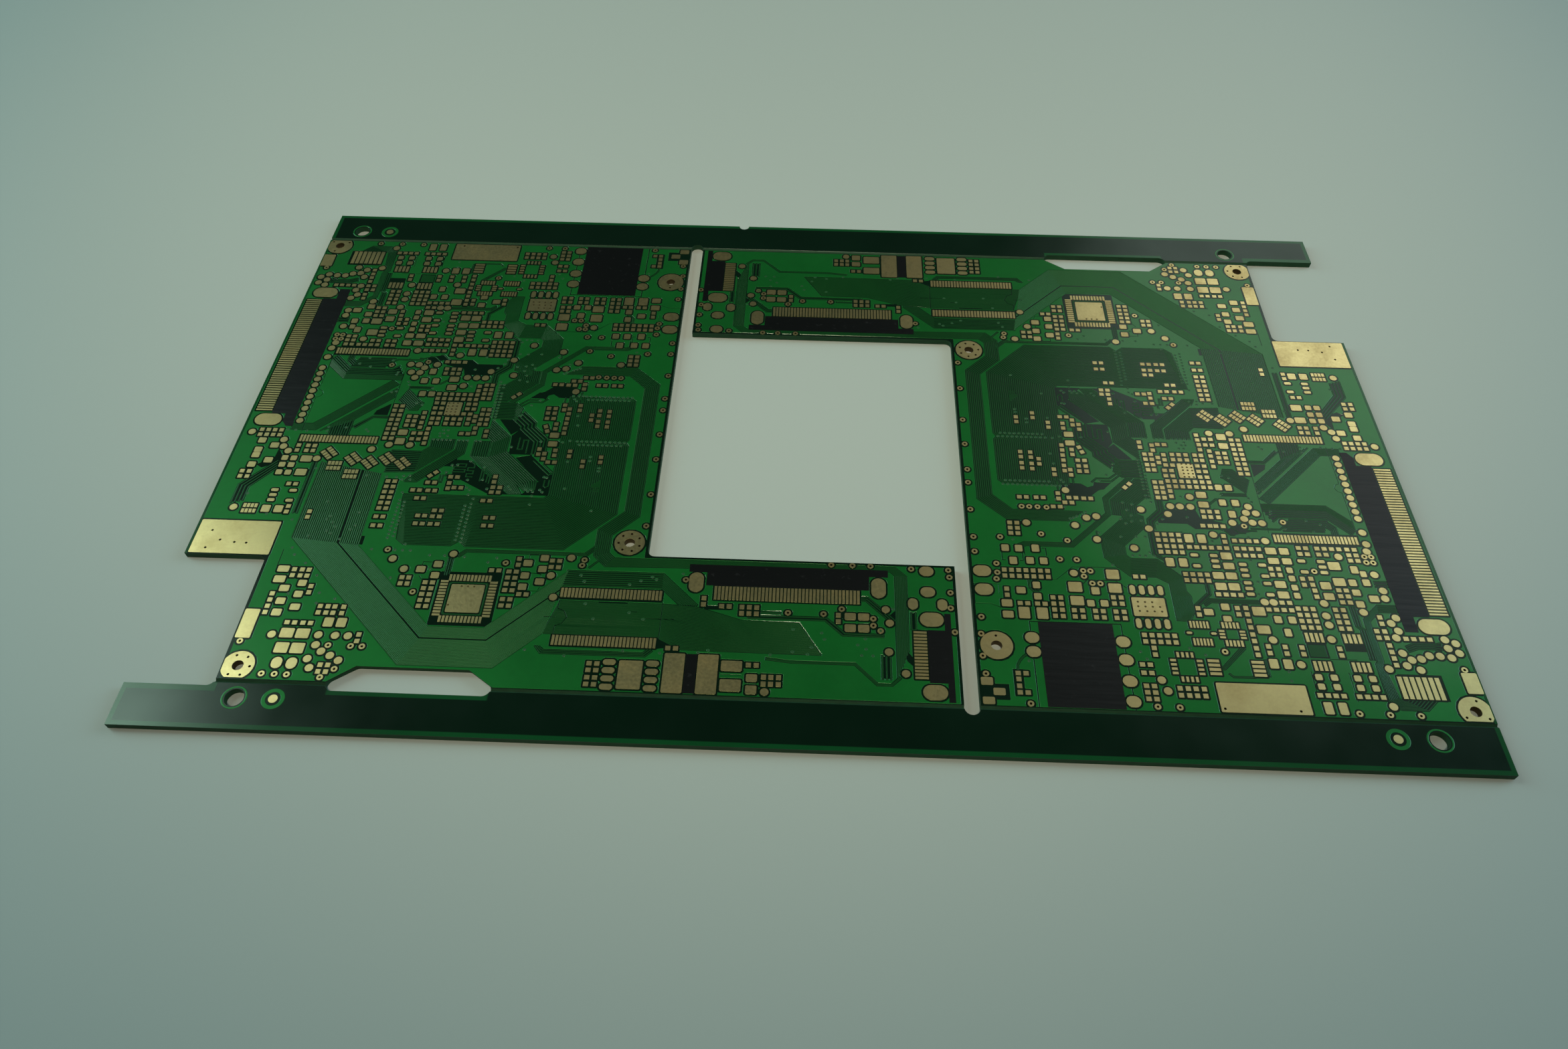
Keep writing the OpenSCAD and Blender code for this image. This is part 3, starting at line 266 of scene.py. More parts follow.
buses = [
    # first trace, last trace, how many are spread evenly from one to the other, width
    ([(-80.8, 42.2), (-79.3, 43.6), (-75.9, 43.6), (-74.6, 42.3), (-74.6, 36.9), (-75.0, 36.4),
      (-75.0, 29.9), (-77.4, 27.5), (-79.9, 27.5)],
     [(-77.3, 42.2), (-77.1, 42.4), (-76.6, 42.4), (-76.1, 41.9), (-75.5, 36.9), (-75.7, 36.4),
      (-75.7, 30.2), (-77.3, 28.6), (-79.9, 28.6)], 8, 0.07),
    ([(-74.8, 36.2), (-74.8, 31.7), (-74.35, 31.2), (-74.35, 28.0)],
     [(-74.1, 36.2), (-74.1, 31.5), (-73.65, 31.0), (-73.65, 28.0)], 3, 0.13),
    ([(-84.2, 33.3), (-83.2, 33.5), (-80.5, 33.5), (-79.4, 34.0)],
     [(-83.9, 34.8), (-83.0, 34.3), (-80.9, 34.3), (-79.6, 34.8)], 4, 0.1),
    ([(-79.9, 24.4), (-78.2, 24.4)], [(-79.9, 23.5), (-78.2, 23.5)], 3, 0.1),
    ([(-78.1, 13.0), (-75.1, 10.15), (-65.8, 10.15)],
     [(-78.1, 14.2), (-75.0, 11.1), (-65.8, 11.1)], 8, 0.07),
    ([(-78.1, 14.5), (-75.0, 11.4), (-67.4, 11.4), (-65.8, 11.4)],
     [(-77.4, 15.3), (-74.6, 12.5), (-67.7, 12.5), (-66.8, 13.3)], 4, 0.14),
    ([(-74.5, 12.9), (-69.2, 12.9)], [(-73.6, 15.0), (-67.9, 15.0)], 7, 0.12),
    ([(-75.5, 15.4), (-75.5, 14.1), (-74.6, 13.2)],
     [(-74.7, 15.4), (-74.7, 14.7), (-73.9, 13.9)], 4, 0.1),
    ([(-79.9, 0.05), (-76.9, 0.05), (-67.0, 9.95)],
     [(-79.9, -1.2), (-76.2, -1.2), (-65.9, 9.1)], 9, 0.1),
    ([(-75.3, -1.3), (-65.9, 8.1)], [(-71.5, 0.6), (-65.9, 6.2)], 8, 0.1),
    ([(-73.9, -2.2), (-73.9, 0.1)], [(-70.9, -2.2), (-70.9, 1.2)], 9, 0.12),
    ([(-70.6, -0.3), (-68.1, 2.05), (-65.8, 2.05)],
     [(-70.2, -0.5), (-68.0, 1.75), (-65.8, 1.75)], 2, 0.12),
    ([(-79.9, -7.7), (-84.1, -12.5), (-84.1, -16.0)],
     [(-79.6, -9.2), (-82.5, -12.9), (-82.5, -15.5)], 4, 0.15),
    ([(-74.45, -7.6), (-74.45, -17.5)], [(-73.95, -7.6), (-73.95, -17.5)], 2, 0.18),
    ([(-33.2, -26.2), (-19.9, -26.2), (-14.9, -31.2)],
     [(-33.4, -28.6), (-19.9, -28.6), (-17.2, -31.3)], 8, 0.16),
    ([(-35.0, -36.5), (-20.0, -36.5), (-16.5, -38.3), (-5.0, -38.4), (2.0, -38.4)],
     [(-33.4, -31.3), (-20.0, -31.3), (-15.0, -31.6), (-8.6, -33.5), (-1.0, -33.6)], 30, 0.12),
    ([(-37.3, 14.35), (-28.5, 14.35), (-24.5, 10.75), (-24.5, -16.2), (-28.0, -19.7),
      (-28.0, -22.9), (-27.1, -23.8), (12.1, -23.8), (13.6, -25.3), (13.6, -37.4)],
     [(-39.4, 12.65), (-29.4, 12.65), (-26.6, 9.9), (-26.6, -15.4), (-30.0, -18.8),
      (-30.0, -23.4), (-28.2, -25.2), (11.4, -24.5), (12.1, -25.2), (12.1, -41.4)], 8, 0.14),
    ([(-28.5, 7.5), (-27.85, 6.9), (-27.85, -1.2), (-28.3, -1.9), (-27.85, -2.6),
      (-27.85, -15.9), (-34.5, -22.55), (-48.4, -22.55), (-49.4, -21.6), (-50.5, -22.5),
      (-57.2, -22.5), (-58.3, -21.6)],
     [(-38.2, 7.5), (-38.2, 6.9), (-38.2, -1.2), (-38.2, -1.9), (-38.2, -2.6),
      (-38.2, -12.8), (-38.8, -13.4), (-47.6, -13.4), (-49.1, -13.4), (-50.6, -13.4),
      (-59.0, -13.4), (-59.4, -13.4)], 34, 0.14),
    ([(-44.8, 3.9), (-42.6, 1.7), (-42.6, 0.8), (-40.2, -1.6), (-40.2, -4.2)],
     [(-46.3, 2.3), (-44.8, 0.8), (-44.8, 0.3), (-42.2, -2.3), (-42.2, -4.9)], 5, 0.15),
    ([(-49.4, 1.9), (-46.1, -1.4), (-46.1, -4.4), (-40.5, -10.0), (-40.5, -11.8)],
     [(-49.4, -1.6), (-48.4, -2.6), (-48.4, -5.6), (-43.4, -10.6), (-42.0, -12.0)], 9, 0.14),
    ([(-48.8, -2.6), (-48.8, -5.6), (-43.4, -11.0), (-42.4, -12.6)],
     [(-51.2, -2.6), (-51.2, -5.6), (-45.3, -11.5), (-44.1, -12.7)], 8, 0.14),
    ([(-52.35, -2.6), (-52.35, -5.1), (-58.2, -10.95), (-59.9, -10.95)],
     [(-53.8, -2.6), (-53.8, -4.5), (-59.2, -9.9), (-59.4, -9.9)], 6, 0.13),
    ([(-54.3, -2.4), (-54.3, -4.3), (-59.0, -9.0), (-63.3, -9.2)],
     [(-57.8, -2.4), (-57.8, -4.0), (-58.8, -5.0), (-63.3, -4.9)], 12, 0.12),
    ([(-64.0, 8.0), (-61.4, 5.4), (-61.0, 5.2)],
     [(-64.9, 5.6), (-62.9, 3.6), (-61.6, 3.6)], 9, 0.12),
    ([(-51.6, 31.0), (-52.4, 29.6), (-52.4, 27.0), (-51.9, 26.2), (-51.9, 23.9), (-48.9, 20.9),
      (-45.2, 20.9), (-44.6, 20.3), (-44.6, 18.6), (-48.1, 15.1), (-48.1, 13.2)],
     [(-49.9, 31.0), (-49.9, 29.6), (-49.9, 27.0), (-49.9, 26.2), (-49.9, 24.9), (-48.3, 23.9),
      (-44.7, 23.9), (-41.6, 20.8), (-41.6, 17.2), (-45.2, 13.6), (-45.2, 12.0)], 16, 0.11),
    ([(-47.3, 13.2), (-47.3, 11.2), (-48.9, 9.6), (-49.7, 9.6)],
     [(-43.9, 12.9), (-43.9, 10.3), (-48.1, 6.1), (-49.7, 6.1)], 12, 0.14),
    ([(-49.4, 5.7), (-46.3, 5.7), (-45.2, 4.6)],
     [(-49.4, 2.4), (-46.2, 2.4), (-45.8, 2.1)], 11, 0.13),
    ([(-29.9, 19.5), (-30.8, 19.1), (-37.4, 19.1), (-43.5, 13.0), (-43.5, 10.1), (-47.6, 6.0)],
     [(-29.6, 19.0), (-30.6, 18.5), (-37.2, 18.5), (-42.9, 12.8), (-42.9, 9.9), (-47.1, 5.7)],
     4, 0.11),
    ([(-49.7, 20.5), (-48.95, 19.9), (-48.95, 15.6)],
     [(-49.7, 20.9), (-48.45, 20.0), (-48.45, 15.6)], 2, 0.15),
    ([(-49.5, 15.3), (-49.5, 14.2), (-51.3, 12.4), (-51.3, 9.8)],
     [(-48.7, 15.0), (-48.7, 13.7), (-50.5, 11.9), (-50.5, 9.8)], 3, 0.17),
    ([(-35.6, -38.6), (-34.8, -39.6), (-21.0, -39.6), (-20.2, -38.8)],
     [(-35.0, -38.7), (-34.5, -39.1), (-21.3, -39.1), (-20.5, -38.3)], 3, 0.12),
    ([(7.4, -29.0), (8.3, -29.0), (12.0, -32.7)],
     [(7.4, -29.6), (8.0, -29.6), (11.6, -33.2)], 3, 0.12),
    ([(-7.8, -33.0), (2.5, -33.0), (4.9, -35.3), (10.3, -35.3)],
     [(-7.8, -32.6), (2.7, -32.6), (5.2, -35.0), (10.3, -35.0)], 2, 0.14),
    ([(10.1, -38.3), (10.1, -41.7)], [(11.2, -38.3), (11.2, -41.7)], 3, 0.16),
    ([(14.1, -31.3), (14.1, -33.9)], [(14.7, -31.3), (14.7, -33.9)], 2, 0.14),
    ([(-50.15, -24.9), (-50.15, -27.6)], [(-49.55, -24.7), (-49.55, -27.6)], 3, 0.1),
    ([(-49.0, -24.1), (-48.1, -23.15), (-31.3, -23.15), (-29.9, -21.7)],
     [(-48.8, -24.4), (-47.9, -23.5), (-31.0, -23.5), (-29.7, -22.2)], 3, 0.1),
    ([(-53.0, 28.8), (-55.2, 26.6), (-55.2, 24.9)],
     [(-52.7, 28.5), (-54.8, 26.4), (-54.8, 24.9)], 2, 0.12),
    ([(-61.8, 27.9), (-55.0, 27.9), (-54.2, 28.5)],
     [(-61.8, 27.4), (-54.8, 27.4), (-54.0, 28.0)], 3, 0.1),
    ([(-60.35, 39.3), (-60.35, 36.9)], [(-60.15, 39.0), (-60.15, 36.9)], 2, 0.1),
    ([(-52.6, 38.5), (-54.7, 38.5), (-58.0, 35.2), (-58.0, 34.0)],
     [(-52.6, 38.1), (-54.6, 38.1), (-57.6, 35.0), (-57.6, 34.0)], 3, 0.1),
    ([(-60.6, 16.1), (-60.2, 16.1), (-59.3, 15.2)],
     [(-63.9, 15.2), (-62.8, 15.2), (-61.8, 14.2)], 3, 0.12),
    ([(-63.9, 8.7), (-60.4, 8.7)], [(-63.9, 8.35), (-60.4, 8.35)], 2, 0.13),
]

wideBus = {
    "first": [(-73.3, -7.6), (-73.3, -22.0), (-53.1, -42.2), (-40.6, -42.2), (-35.0, -36.6)],
    "last": [(-63.7, -9.6), (-63.5, -23.0), (-50.4, -36.1), (-43.0, -36.1), (-33.2, -26.3)],
    "count": 34,
    "missing": 23,        # the place left free in it
    "width": 0.1,
}

traces = [
    # path, width
    ([(-27.7, 39.6), (-27.75, 38.9), (-28.1, 38.2), (-28.6, 37.6), (-29.3, 37.1)], 0.22),
    ([(-68.6, 13.7), (-67.4, 14.8), (-63.4, 14.8)], 0.16),
    ([(-58.3, 39.6), (-55.6, 39.6), (-55.2, 39.2)], 0.16),
    ([(-31.6, 27.1), (-31.0, 27.0), (-30.5, 26.4), (-30.5, 24.9)], 0.14),
    ([(-31.9, 26.8), (-31.2, 26.6), (-30.9, 26.2), (-30.9, 24.9)], 0.14),
    ([(-46.2, 5.1), (-44.6, 6.6), (-42.8, 6.6)], 0.15),
    ([(-46.2, 4.5), (-44.3, 6.1), (-42.4, 6.1), (-41.7, 6.8)], 0.15),
    ([(-5.0, -39.3), (-2.0, -39.65), (6.5, -39.65), (9.4, -42.6), (11.3, -42.6),
      (12.3, -41.6)], 0.3),
    ([(14.1, -33.9), (14.4, -34.1), (14.7, -33.9)], 0.14),
    ([(-6.0, -32.0), (-3.6, -32.0)], 0.3),
    ([(-29.3, -23.6), (-29.3, -24.4), (-30.3, -25.5)], 0.16),
    ([(-36.5, 8.9), (-36.5, 7.2), (-36.1, 6.4)], 0.16),
    ([(-41.1, 17.3), (-41.1, 16.2)], 0.14),
    ([(-60.2, 9.5), (-59.3, 9.5), (-58.4, 10.3)], 0.2),
    ([(-38.9, 5.9), (-38.9, 7.2)], 0.14),
    ([(-39.9, -6.9), (-38.4, -8.4), (-38.9, -8.9), (-41.6, -6.2)], 0.15),
    ([(-38.6, -9.9), (-38.6, -11.0), (-39.0, -11.3), (-39.3, -11.0), (-39.3, -9.9)], 0.14),
    ([(-52.6, -7.2), (-51.5, -7.2), (-51.5, -7.8), (-53.2, -7.8), (-53.2, -8.3), (-51.5, -8.3),
      (-51.5, -8.8), (-53.2, -8.8)], 0.14),
    ([(-50.9, -6.6), (-50.2, -7.2), (-50.2, -7.9), (-51.1, -7.9), (-51.1, -8.5), (-50.2, -8.5),
      (-50.2, -9.1), (-51.1, -9.1), (-51.1, -9.7), (-50.2, -9.7)], 0.14),
    ([(-48.9, -10.4), (-48.9, -8.1), (-48.5, -8.1), (-48.5, -10.2)], 0.14),
    ([(-47.9, -10.6), (-47.9, -9.2), (-47.5, -9.2), (-47.5, -10.8)], 0.14),
    ([(-44.5, -1.6), (-44.5, -3.9), (-43.8, -3.9), (-43.8, -2.0), (-43.1, -2.0),
      (-43.1, -4.6)], 0.16),
    ([(-54.9, -9.6), (-54.9, -10.9), (-54.5, -10.9), (-54.5, -9.6), (-54.1, -9.6),
      (-54.1, -8.9)], 0.12),
    ([(-31.9, -10.9), (-31.9, -11.3), (-31.0, -11.3), (-31.0, -11.7), (-32.0, -11.7)], 0.13),
]

cuts = [
    # lines of bare board in the copper: path, width
    ([(-42.15, 45.0), (-42.15, 32.0), (-29.95, 32.0), (-29.95, 45.0)], 0.2),
    ([(-26.3, 29.9), (-25.0, 29.3), (-22.9, 29.3), (-22.9, 26.0), (-26.3, 26.0),
      (-26.3, 27.5)], 0.12),
    ([(-43.8, 25.9), (-42.5, 24.8), (-38.6, 24.8), (-37.9, 25.6)], 0.15),
    ([(-43.2, 22.6), (-36.9, 22.6), (-34.4, 24.9), (-33.8, 24.9)], 0.12),
    ([(-33.45, 20.8), (-33.45, 19.5), (-33.0, 19.5)], 0.18),
    ([(-30.4, 20.8), (-30.4, 19.5)], 0.18),
    ([(-29.7, 21.8), (-30.1, 21.8), (-30.1, 20.6)], 0.18),
    ([(-27.6, 21.8), (-27.2, 21.8), (-27.2, 20.6)], 0.18),
    ([(-78.2, 15.5), (-78.2, 7.5), (-77.6, 7.2), (-77.3, 6.6), (-77.6, 6.0), (-78.2, 5.7),
      (-78.2, -1.6)], 0.12),
    ([(-65.65, 15.4), (-65.65, -2.2)], 0.12),
    ([(-33.6, -31.0), (-19.5, -31.0), (-19.5, -36.8)], 0.13),
    ([(-33.6, -31.0), (-33.6, -32.5), (-32.7, -32.9), (-32.2, -33.9), (-32.7, -34.9),
      (-33.6, -35.3), (-33.6, -36.6)], 0.13),
    ([(-53.6, -26.4), (-53.6, -25.5), (-52.3, -25.5)], 0.14),
    ([(-53.6, -27.9), (-53.2, -28.4), (-51.2, -28.4)], 0.14),
    ([(-38.95, -24.4), (-38.95, -23.7), (-37.7, -23.7)], 0.14),
    ([(-38.9, -26.7), (-36.8, -27.0), (-36.8, -27.6)], 0.14),
    ([(-38.2, -29.8), (-36.9, -29.8), (-36.7, -29.2)], 0.14),
    ([(-73.7, -24.2), (-73.7, -27.0)], 0.14),
    ([(-22.3, 12.6), (-23.0, 12.6)], 0.1),
    ([(-35.3, -33.9), (-33.8, -33.9)], 0.12),
    ([(-23.6, -32.7), (-22.9, -32.7)], 0.12),
    ([(-21.5, -33.7), (-17.8, -33.7)], 0.12),
    ([(-24.3, -31.3), (-28.2, -31.3)], 0.12),
    ([(-10.9, -41.9), (-8.3, -41.9)], 0.12),
    ([(-72.3, 36.4), (-68.8, 36.4)], 0.12),
    ([(-70.7, 42.6), (-70.7, 38.4)], 0.14),
    ([(-65.8, 42.6), (-65.8, 38.4)], 0.14),
    ([(-74.5, 42.6), (-74.5, 38.4)], 0.14),
]

bareAreas = [
    [(-74.1, 33.9), (-71.2, 33.9), (-71.2, 35.1), (-74.1, 35.1)],
    [(-68.9, 34.0), (-66.2, 34.0), (-66.2, 36.3), (-68.9, 36.3)],
    [(-28.4, 39.5), (-27.0, 39.5), (-27.0, 43.6), (-28.4, 43.6)],
    [(-26.4, 41.8), (-22.7, 41.8), (-22.7, 44.2), (-26.4, 44.2)],
    [(-59.5, 15.2), (-55.3, 15.2), (-54.3, 14.3), (-50.2, 14.3), (-50.0, 12.3), (-51.2, 11.7),
     (-56.0, 11.7), (-56.4, 13.2), (-59.4, 13.8)],
    [(-44.6, 6.8), (-43.2, 8.3), (-42.9, 8.3), (-42.4, 8.5), (-41.2, 9.6), (-39.0, 9.6),
     (-37.3, 9.4), (-36.9, 7.8), (-38.2, 7.1), (-40.0, 7.2), (-40.9, 7.9), (-41.7, 7.6),
     (-42.0, 6.7), (-42.4, 6.9), (-44.3, 6.9)],
    [(-50.7, -27.0), (-42.1, -27.0), (-42.1, -35.9), (-50.7, -35.9)],
    [(-82.6, 38.3), (-76.8, 38.3), (-76.8, 42.2), (-82.6, 42.2)],
    [(-78.3, 15.4), (-66.0, 15.4), (-66.0, 17.5), (-78.3, 17.5)],
    [(-78.3, -3.9), (-66.0, -3.9), (-66.0, -2.1), (-78.3, -2.1)],
    [(-67.9, 3.3), (-65.9, 4.9), (-65.9, 2.3), (-68.2, 2.3)],
    [(-56.3, -7.8), (-53.6, -5.1), (-53.1, -5.6), (-53.1, -7.8)],
    [(-50.9, -6.4), (-44.2, -12.9), (-47.2, -12.9), (-53.3, -9.5), (-53.3, -6.4)],
    [(-42.2, -5.0), (-38.2, -9.0), (-38.2, -12.9), (-42.4, -12.9), (-40.2, -10.2), (-44.5, -5.6)],
    [(-44.8, 0.2), (-42.2, -2.4), (-42.2, -5.0), (-45.6, -5.0), (-45.9, -1.2)],
    [(-48.4, 2.2), (-46.2, 2.2), (-44.6, 0.3), (-46.0, -1.0)],
    [(-34.3, -7.3), (-31.2, -7.3), (-31.2, -9.0), (-32.4, -10.2), (-32.4, -15.9), (-30.3, -15.9),
     (-30.3, -11.6), (-30.9, -9.2)],
    [(-80.5, -5.2), (-79.6, -6.4), (-79.6, -8.0), (-81.9, -9.2), (-82.9, -8.6), (-80.6, -6.9)],
    [(-36.0, -31.3), (-33.7, -29.2), (-33.7, -31.3)],
    [(13.3, -37.2), (14.2, -38.4), (14.2, -39.8), (13.3, -38.9)],
    [(12.0, -31.0), (12.0, -33.1), (11.2, -31.8)],
    [(-19.6, -36.6), (-17.2, -38.0), (-19.6, -38.4)],
    [(-62.9, -21.3), (-62.9, -22.9), (-63.4, -22.9), (-63.9, -21.3)],
    [(-13.9, -31.2), (-10.2, -31.2), (-10.2, -31.9), (-13.9, -31.9)],
]

islands = [
    [(-73.6, 35.3), (-71.4, 35.3), (-71.4, 36.1), (-73.6, 36.1)],
    [(-68.6, 34.25), (-66.4, 34.25), (-66.4, 36.05), (-68.6, 36.05)],
    [(-49.3, -28.7), (-43.6, -28.7), (-43.6, -34.2), (-49.3, -34.2)],
    [(-32.1, -11.0), (-30.95, -11.0), (-30.95, -9.4), (-32.4, -10.7)],
]

# middles of the vias that the mask covers, first those that stand singly
coveredVias = [
    (-62.95, 39.9), (-62.95, 38.5), (-74.2, -18.8), (-72.6, -23.8), (-71.9, -25.0), (-69.9, -26.4),
    (-67.7, -28.4), (-66.5, -31.3), (-66.4, -33.0), (-64.1, -32.2), (-70.7, -31.6), (-58.1, -23.6),
    (-57.0, -23.6), (-55.9, -23.6), (-53.0, -24.3), (-50.9, -24.3), (-48.1, -24.4), (-43.5, -24.4),
    (-44.6, -25.2), (-61.4, -23.6), (-52.4, -26.7), (-57.5, -28.4), (-56.9, -22.55), (-36.9, -39.2),
    (-31.6, -39.9), (-31.3, -26.9), (-30.7, -27.9), (-24.4, -28.2), (-21.4, -26.8), (-20.8, -27.2),
    (-22.9, -27.5), (-24.0, -38.8), (-19.1, -39.0), (-23.9, -32.8), (-28.6, -34.0), (-21.9, -33.8),
    (-30.0, -31.6), (-36.1, -11.4), (-36.4, 3.4), (-36.1, 1.4), (-36.5, -6.1), (-41.2, -2.2),
    (-37.9, -2.2), (-39.6, -4.1), (-31.6, -7.8), (-31.6, -7.2), (-33.2, -5.0), (-33.2, -5.8),
    (-31.6, -15.4), (-40.7, -13.0), (-40.7, -14.6), (-39.1, -9.4), (-39.5, -9.3), (-39.7, -11.8),
    (-39.3, -12.2), (-51.0, -6.6), (-50.7, -10.3), (-48.5, -10.2), (-48.7, -7.7), (-50.5, -11.8),
    (-54.2, -8.9), (-45.3, 3.1), (-45.5, -3.5), (-44.4, -11.3), (-44.0, -11.8), (-47.5, -11.9),
    (-60.4, -10.6), (-59.2, -10.6), (-60.3, -9.9), (-59.4, -9.8), (-61.3, -10.2), (-62.8, -10.2),
    (-53.6, -7.5), (-52.8, -7.4), (-50.0, -12.2), (-41.8, -11.75), (-41.0, -11.8), (-41.4, -12.15),
    (-40.7, -12.2), (-68.2, 14.6), (-66.7, 11.9), (-66.8, 11.4), (-64.5, 9.8), (-64.2, 9.1),
    (-60.3, 8.5), (-72.1, 15.0), (-73.4, 13.6), (-71.5, 13.0), (-66.6, 7.4), (-65.9, 7.6),
    (-74.3, -0.5), (-74.3, -1.4), (-71.6, -0.5), (-68.4, -0.8), (-68.0, -1.2), (-65.8, -10.0),
    (-65.0, -17.0), (-65.4, -20.2), (-64.9, -19.4), (-70.1, -15.2),
    (-68.9, -17.9), (-69.3, -18.5), (-68.3, -19.0), (-67.7, -19.8), (-68.0, -21.0), (-68.7, -20.6),
    (-71.0, -21.6), (-66.4, -22.0), (-73.7, -9.0), (-50.0, 14.5), (-50.9, 13.5), (-44.0, 5.4),
    (-42.8, 6.5), (-46.9, 10.9), (-45.6, 10.6), (-46.0, 12.0), (-46.5, 13.0), (-46.4, 14.1),
    (-45.5, 14.5), (-44.9, 13.7), (-47.8, 13.9), (-44.4, 17.0), (-47.9, 16.9), (-46.6, 16.9),
    (-48.6, 20.3), (-47.4, 20.3), (-46.6, 20.3), (-45.6, 20.3), (-48.1, 19.7), (-41.4, 16.4),
    (-40.0, 12.65), (-39.6, 13.0), (-38.6, 13.5), (-38.1, 13.75), (-37.6, 13.95), (-39.4, 14.8),
    (-37.1, 11.8), (-42.5, 22.1), (-29.0, 18.1), (-35.9, 10.4), (-37.45, 7.0), (-37.1, 6.6),
    (-37.75, 7.7), (-36.9, 7.75), (-36.2, 7.8), (-36.8, -1.85), (-59.7, -13.1), (-50.0, -13.1),
    (-49.1, -13.85), (-77.4, -1.5), (-27.7, 40.1), (-29.3, 38.2), (-44.1, 36.2), (-44.8, 37.3),
    (-52.6, 36.4), (-50.7, 35.4), (-61.6, 11.1), (-62.1, 5.2), (-61.1, 4.8), (-56.5, -0.4),
    (-56.3, -1.1), (-56.8, -1.7), (-56.9, -1.1), (-55.8, -0.4), (-55.6, -1.6), (-62.0, 20.5),
    (-62.6, 16.4), (-59.1, 15.3), (-57.3, 17.3), (-53.2, 15.9), (-49.6, 15.5), (-54.3, 9.2),
    (-54.5, 13.0), (-61.8, 26.3), (-62.2, 24.2), (-59.75, 24.25), (-1.7, -34.6), (2.1, -35.0),
    (2.5, -36.0),
    (0.8, -37.3), (-4.6, -38.7), (-1.7, -38.1), (0.3, -38.4), (7.4, -38.3), (8.9, -38.3),
    (8.0, -37.3), (6.9, -36.7), (7.9, -35.7), (10.0, -34.4), (11.7, -30.8), (-12.8, -38.3),
    (-14.1, -38.7), (-17.2, -26.1), (-82.2, -14.2), (-78.2, -17.9),
]

viaRows = [
    # first via, step, how many
    ((-35.65, 7.75), (0.72, 0), 11), ((-35.3, 7.0), (0.715, 0), 10),
    ((-35.7, -1.9), (0.72, 0), 11), ((-35.3, -2.6), (0.71, 0), 10),
    ((-59.7, -14.5), (0, -0.7), 11), ((-58.95, -14.85), (0, -0.7), 10),
    ((-50.0, -15.2), (0, -0.7), 10), ((-49.2, -14.8), (0, -0.7), 11),
    ((-49.8, 10.4), (0, -0.64), 13), ((-49.15, 9.75), (0, -0.64), 2),
    ((-49.15, 7.83), (0, -0.64), 10),
    ((-57.6, -2.4), (0.65, 0), 5), ((-53.7, -2.4), (0.65, 0), 3), ((-51.1, -2.4), (0.65, 0), 2),
    ((-80.35, -1.35), (1.2, 0), 2),
]

padViaRows = [
    # filled vias inside the large lands: first via, step, how many
    ((-48.05, 29.75), (1.0, 0), 4), ((-47.9, 29.0), (0.98, 0), 4), ((-46.95, 28.25), (0.97, 0), 3),
    ((-56.95, 5.3), (0.68, 0), 3), ((-56.95, 4.65), (0.68, 0), 3), ((-56.95, 4.0), (0.68, 0), 3),
    ((-56.95, 3.4), (0.68, 0), 3), ((-56.95, 2.75), (0.68, 0), 3), ((-47.35, -29.45), (0.87, 0), 3),
    ((-48.55, -32.6), (0, 0), 1),
]


def ccw(ring):
    # a closed ring of points, turned to run anticlockwise
    ring = np.asarray(ring, float)
    ahead = np.roll(ring, -1, 0)
    area = (ring[:, 0] * ahead[:, 1] - ahead[:, 0] * ring[:, 1]).sum()
    return ring if area > 0 else ring[::-1]


def ribbon(path, width, sharpest=0.4):
    # both edges of a band along a path; at a corner between sides with normals n1 and n2
    # the edge lies at half the width times (n1 + n2) / (1 + n1.n2), the divisor being kept
    # above sharpest
    path = np.asarray(path, float)
    step = np.diff(path, axis=0)
    step /= np.linalg.norm(step, axis=1)[:, None]
    normal = np.c_[-step[:, 1], step[:, 0]]
    before = np.r_[normal[:1], normal]
    after = np.r_[normal, normal[-1:]]
    lean = (before + after) / np.maximum(1 + (before * after).sum(1), sharpest)[:, None]
    return path + lean * width / 2, path - lean * width / 2


def strip(path, width):
    # the band as a closed ring, half a width longer at each end
    path = np.asarray(path, float).copy()
    for end, inner in ((0, 1), (-1, -2)):
        out = path[end] - path[inner]
        path[end] += out / np.linalg.norm(out) * width / 2
    one, other = ribbon(path, width)
    return ccw(np.r_[one, other[::-1]])


def between(first, last, count):
    # count paths from the first to the last: (1 - share) of the one and share of the other
    share = np.linspace(0, 1, count)[:, None, None]
    return np.asarray(first, float) * (1 - share) + np.asarray(last, float) * share


def spread(rows):
    # the places of every row: the first, plus i steps
    return [(first[0] + step[0] * i, first[1] + step[1] * i)
            for first, step, count in rows for i in range(count)]


def disc(places, radius, sides=40):
    # round each place a polygon whose sides touch the circle: its corners lie at
    # radius / cos(pi / sides)
    angle = (np.arange(sides) + 0.5) * 2 * np.pi / sides
    rim = radius / math.cos(math.pi / sides) * np.c_[np.cos(angle), np.sin(angle)]
    return np.asarray(places, float)[:, None] + rim


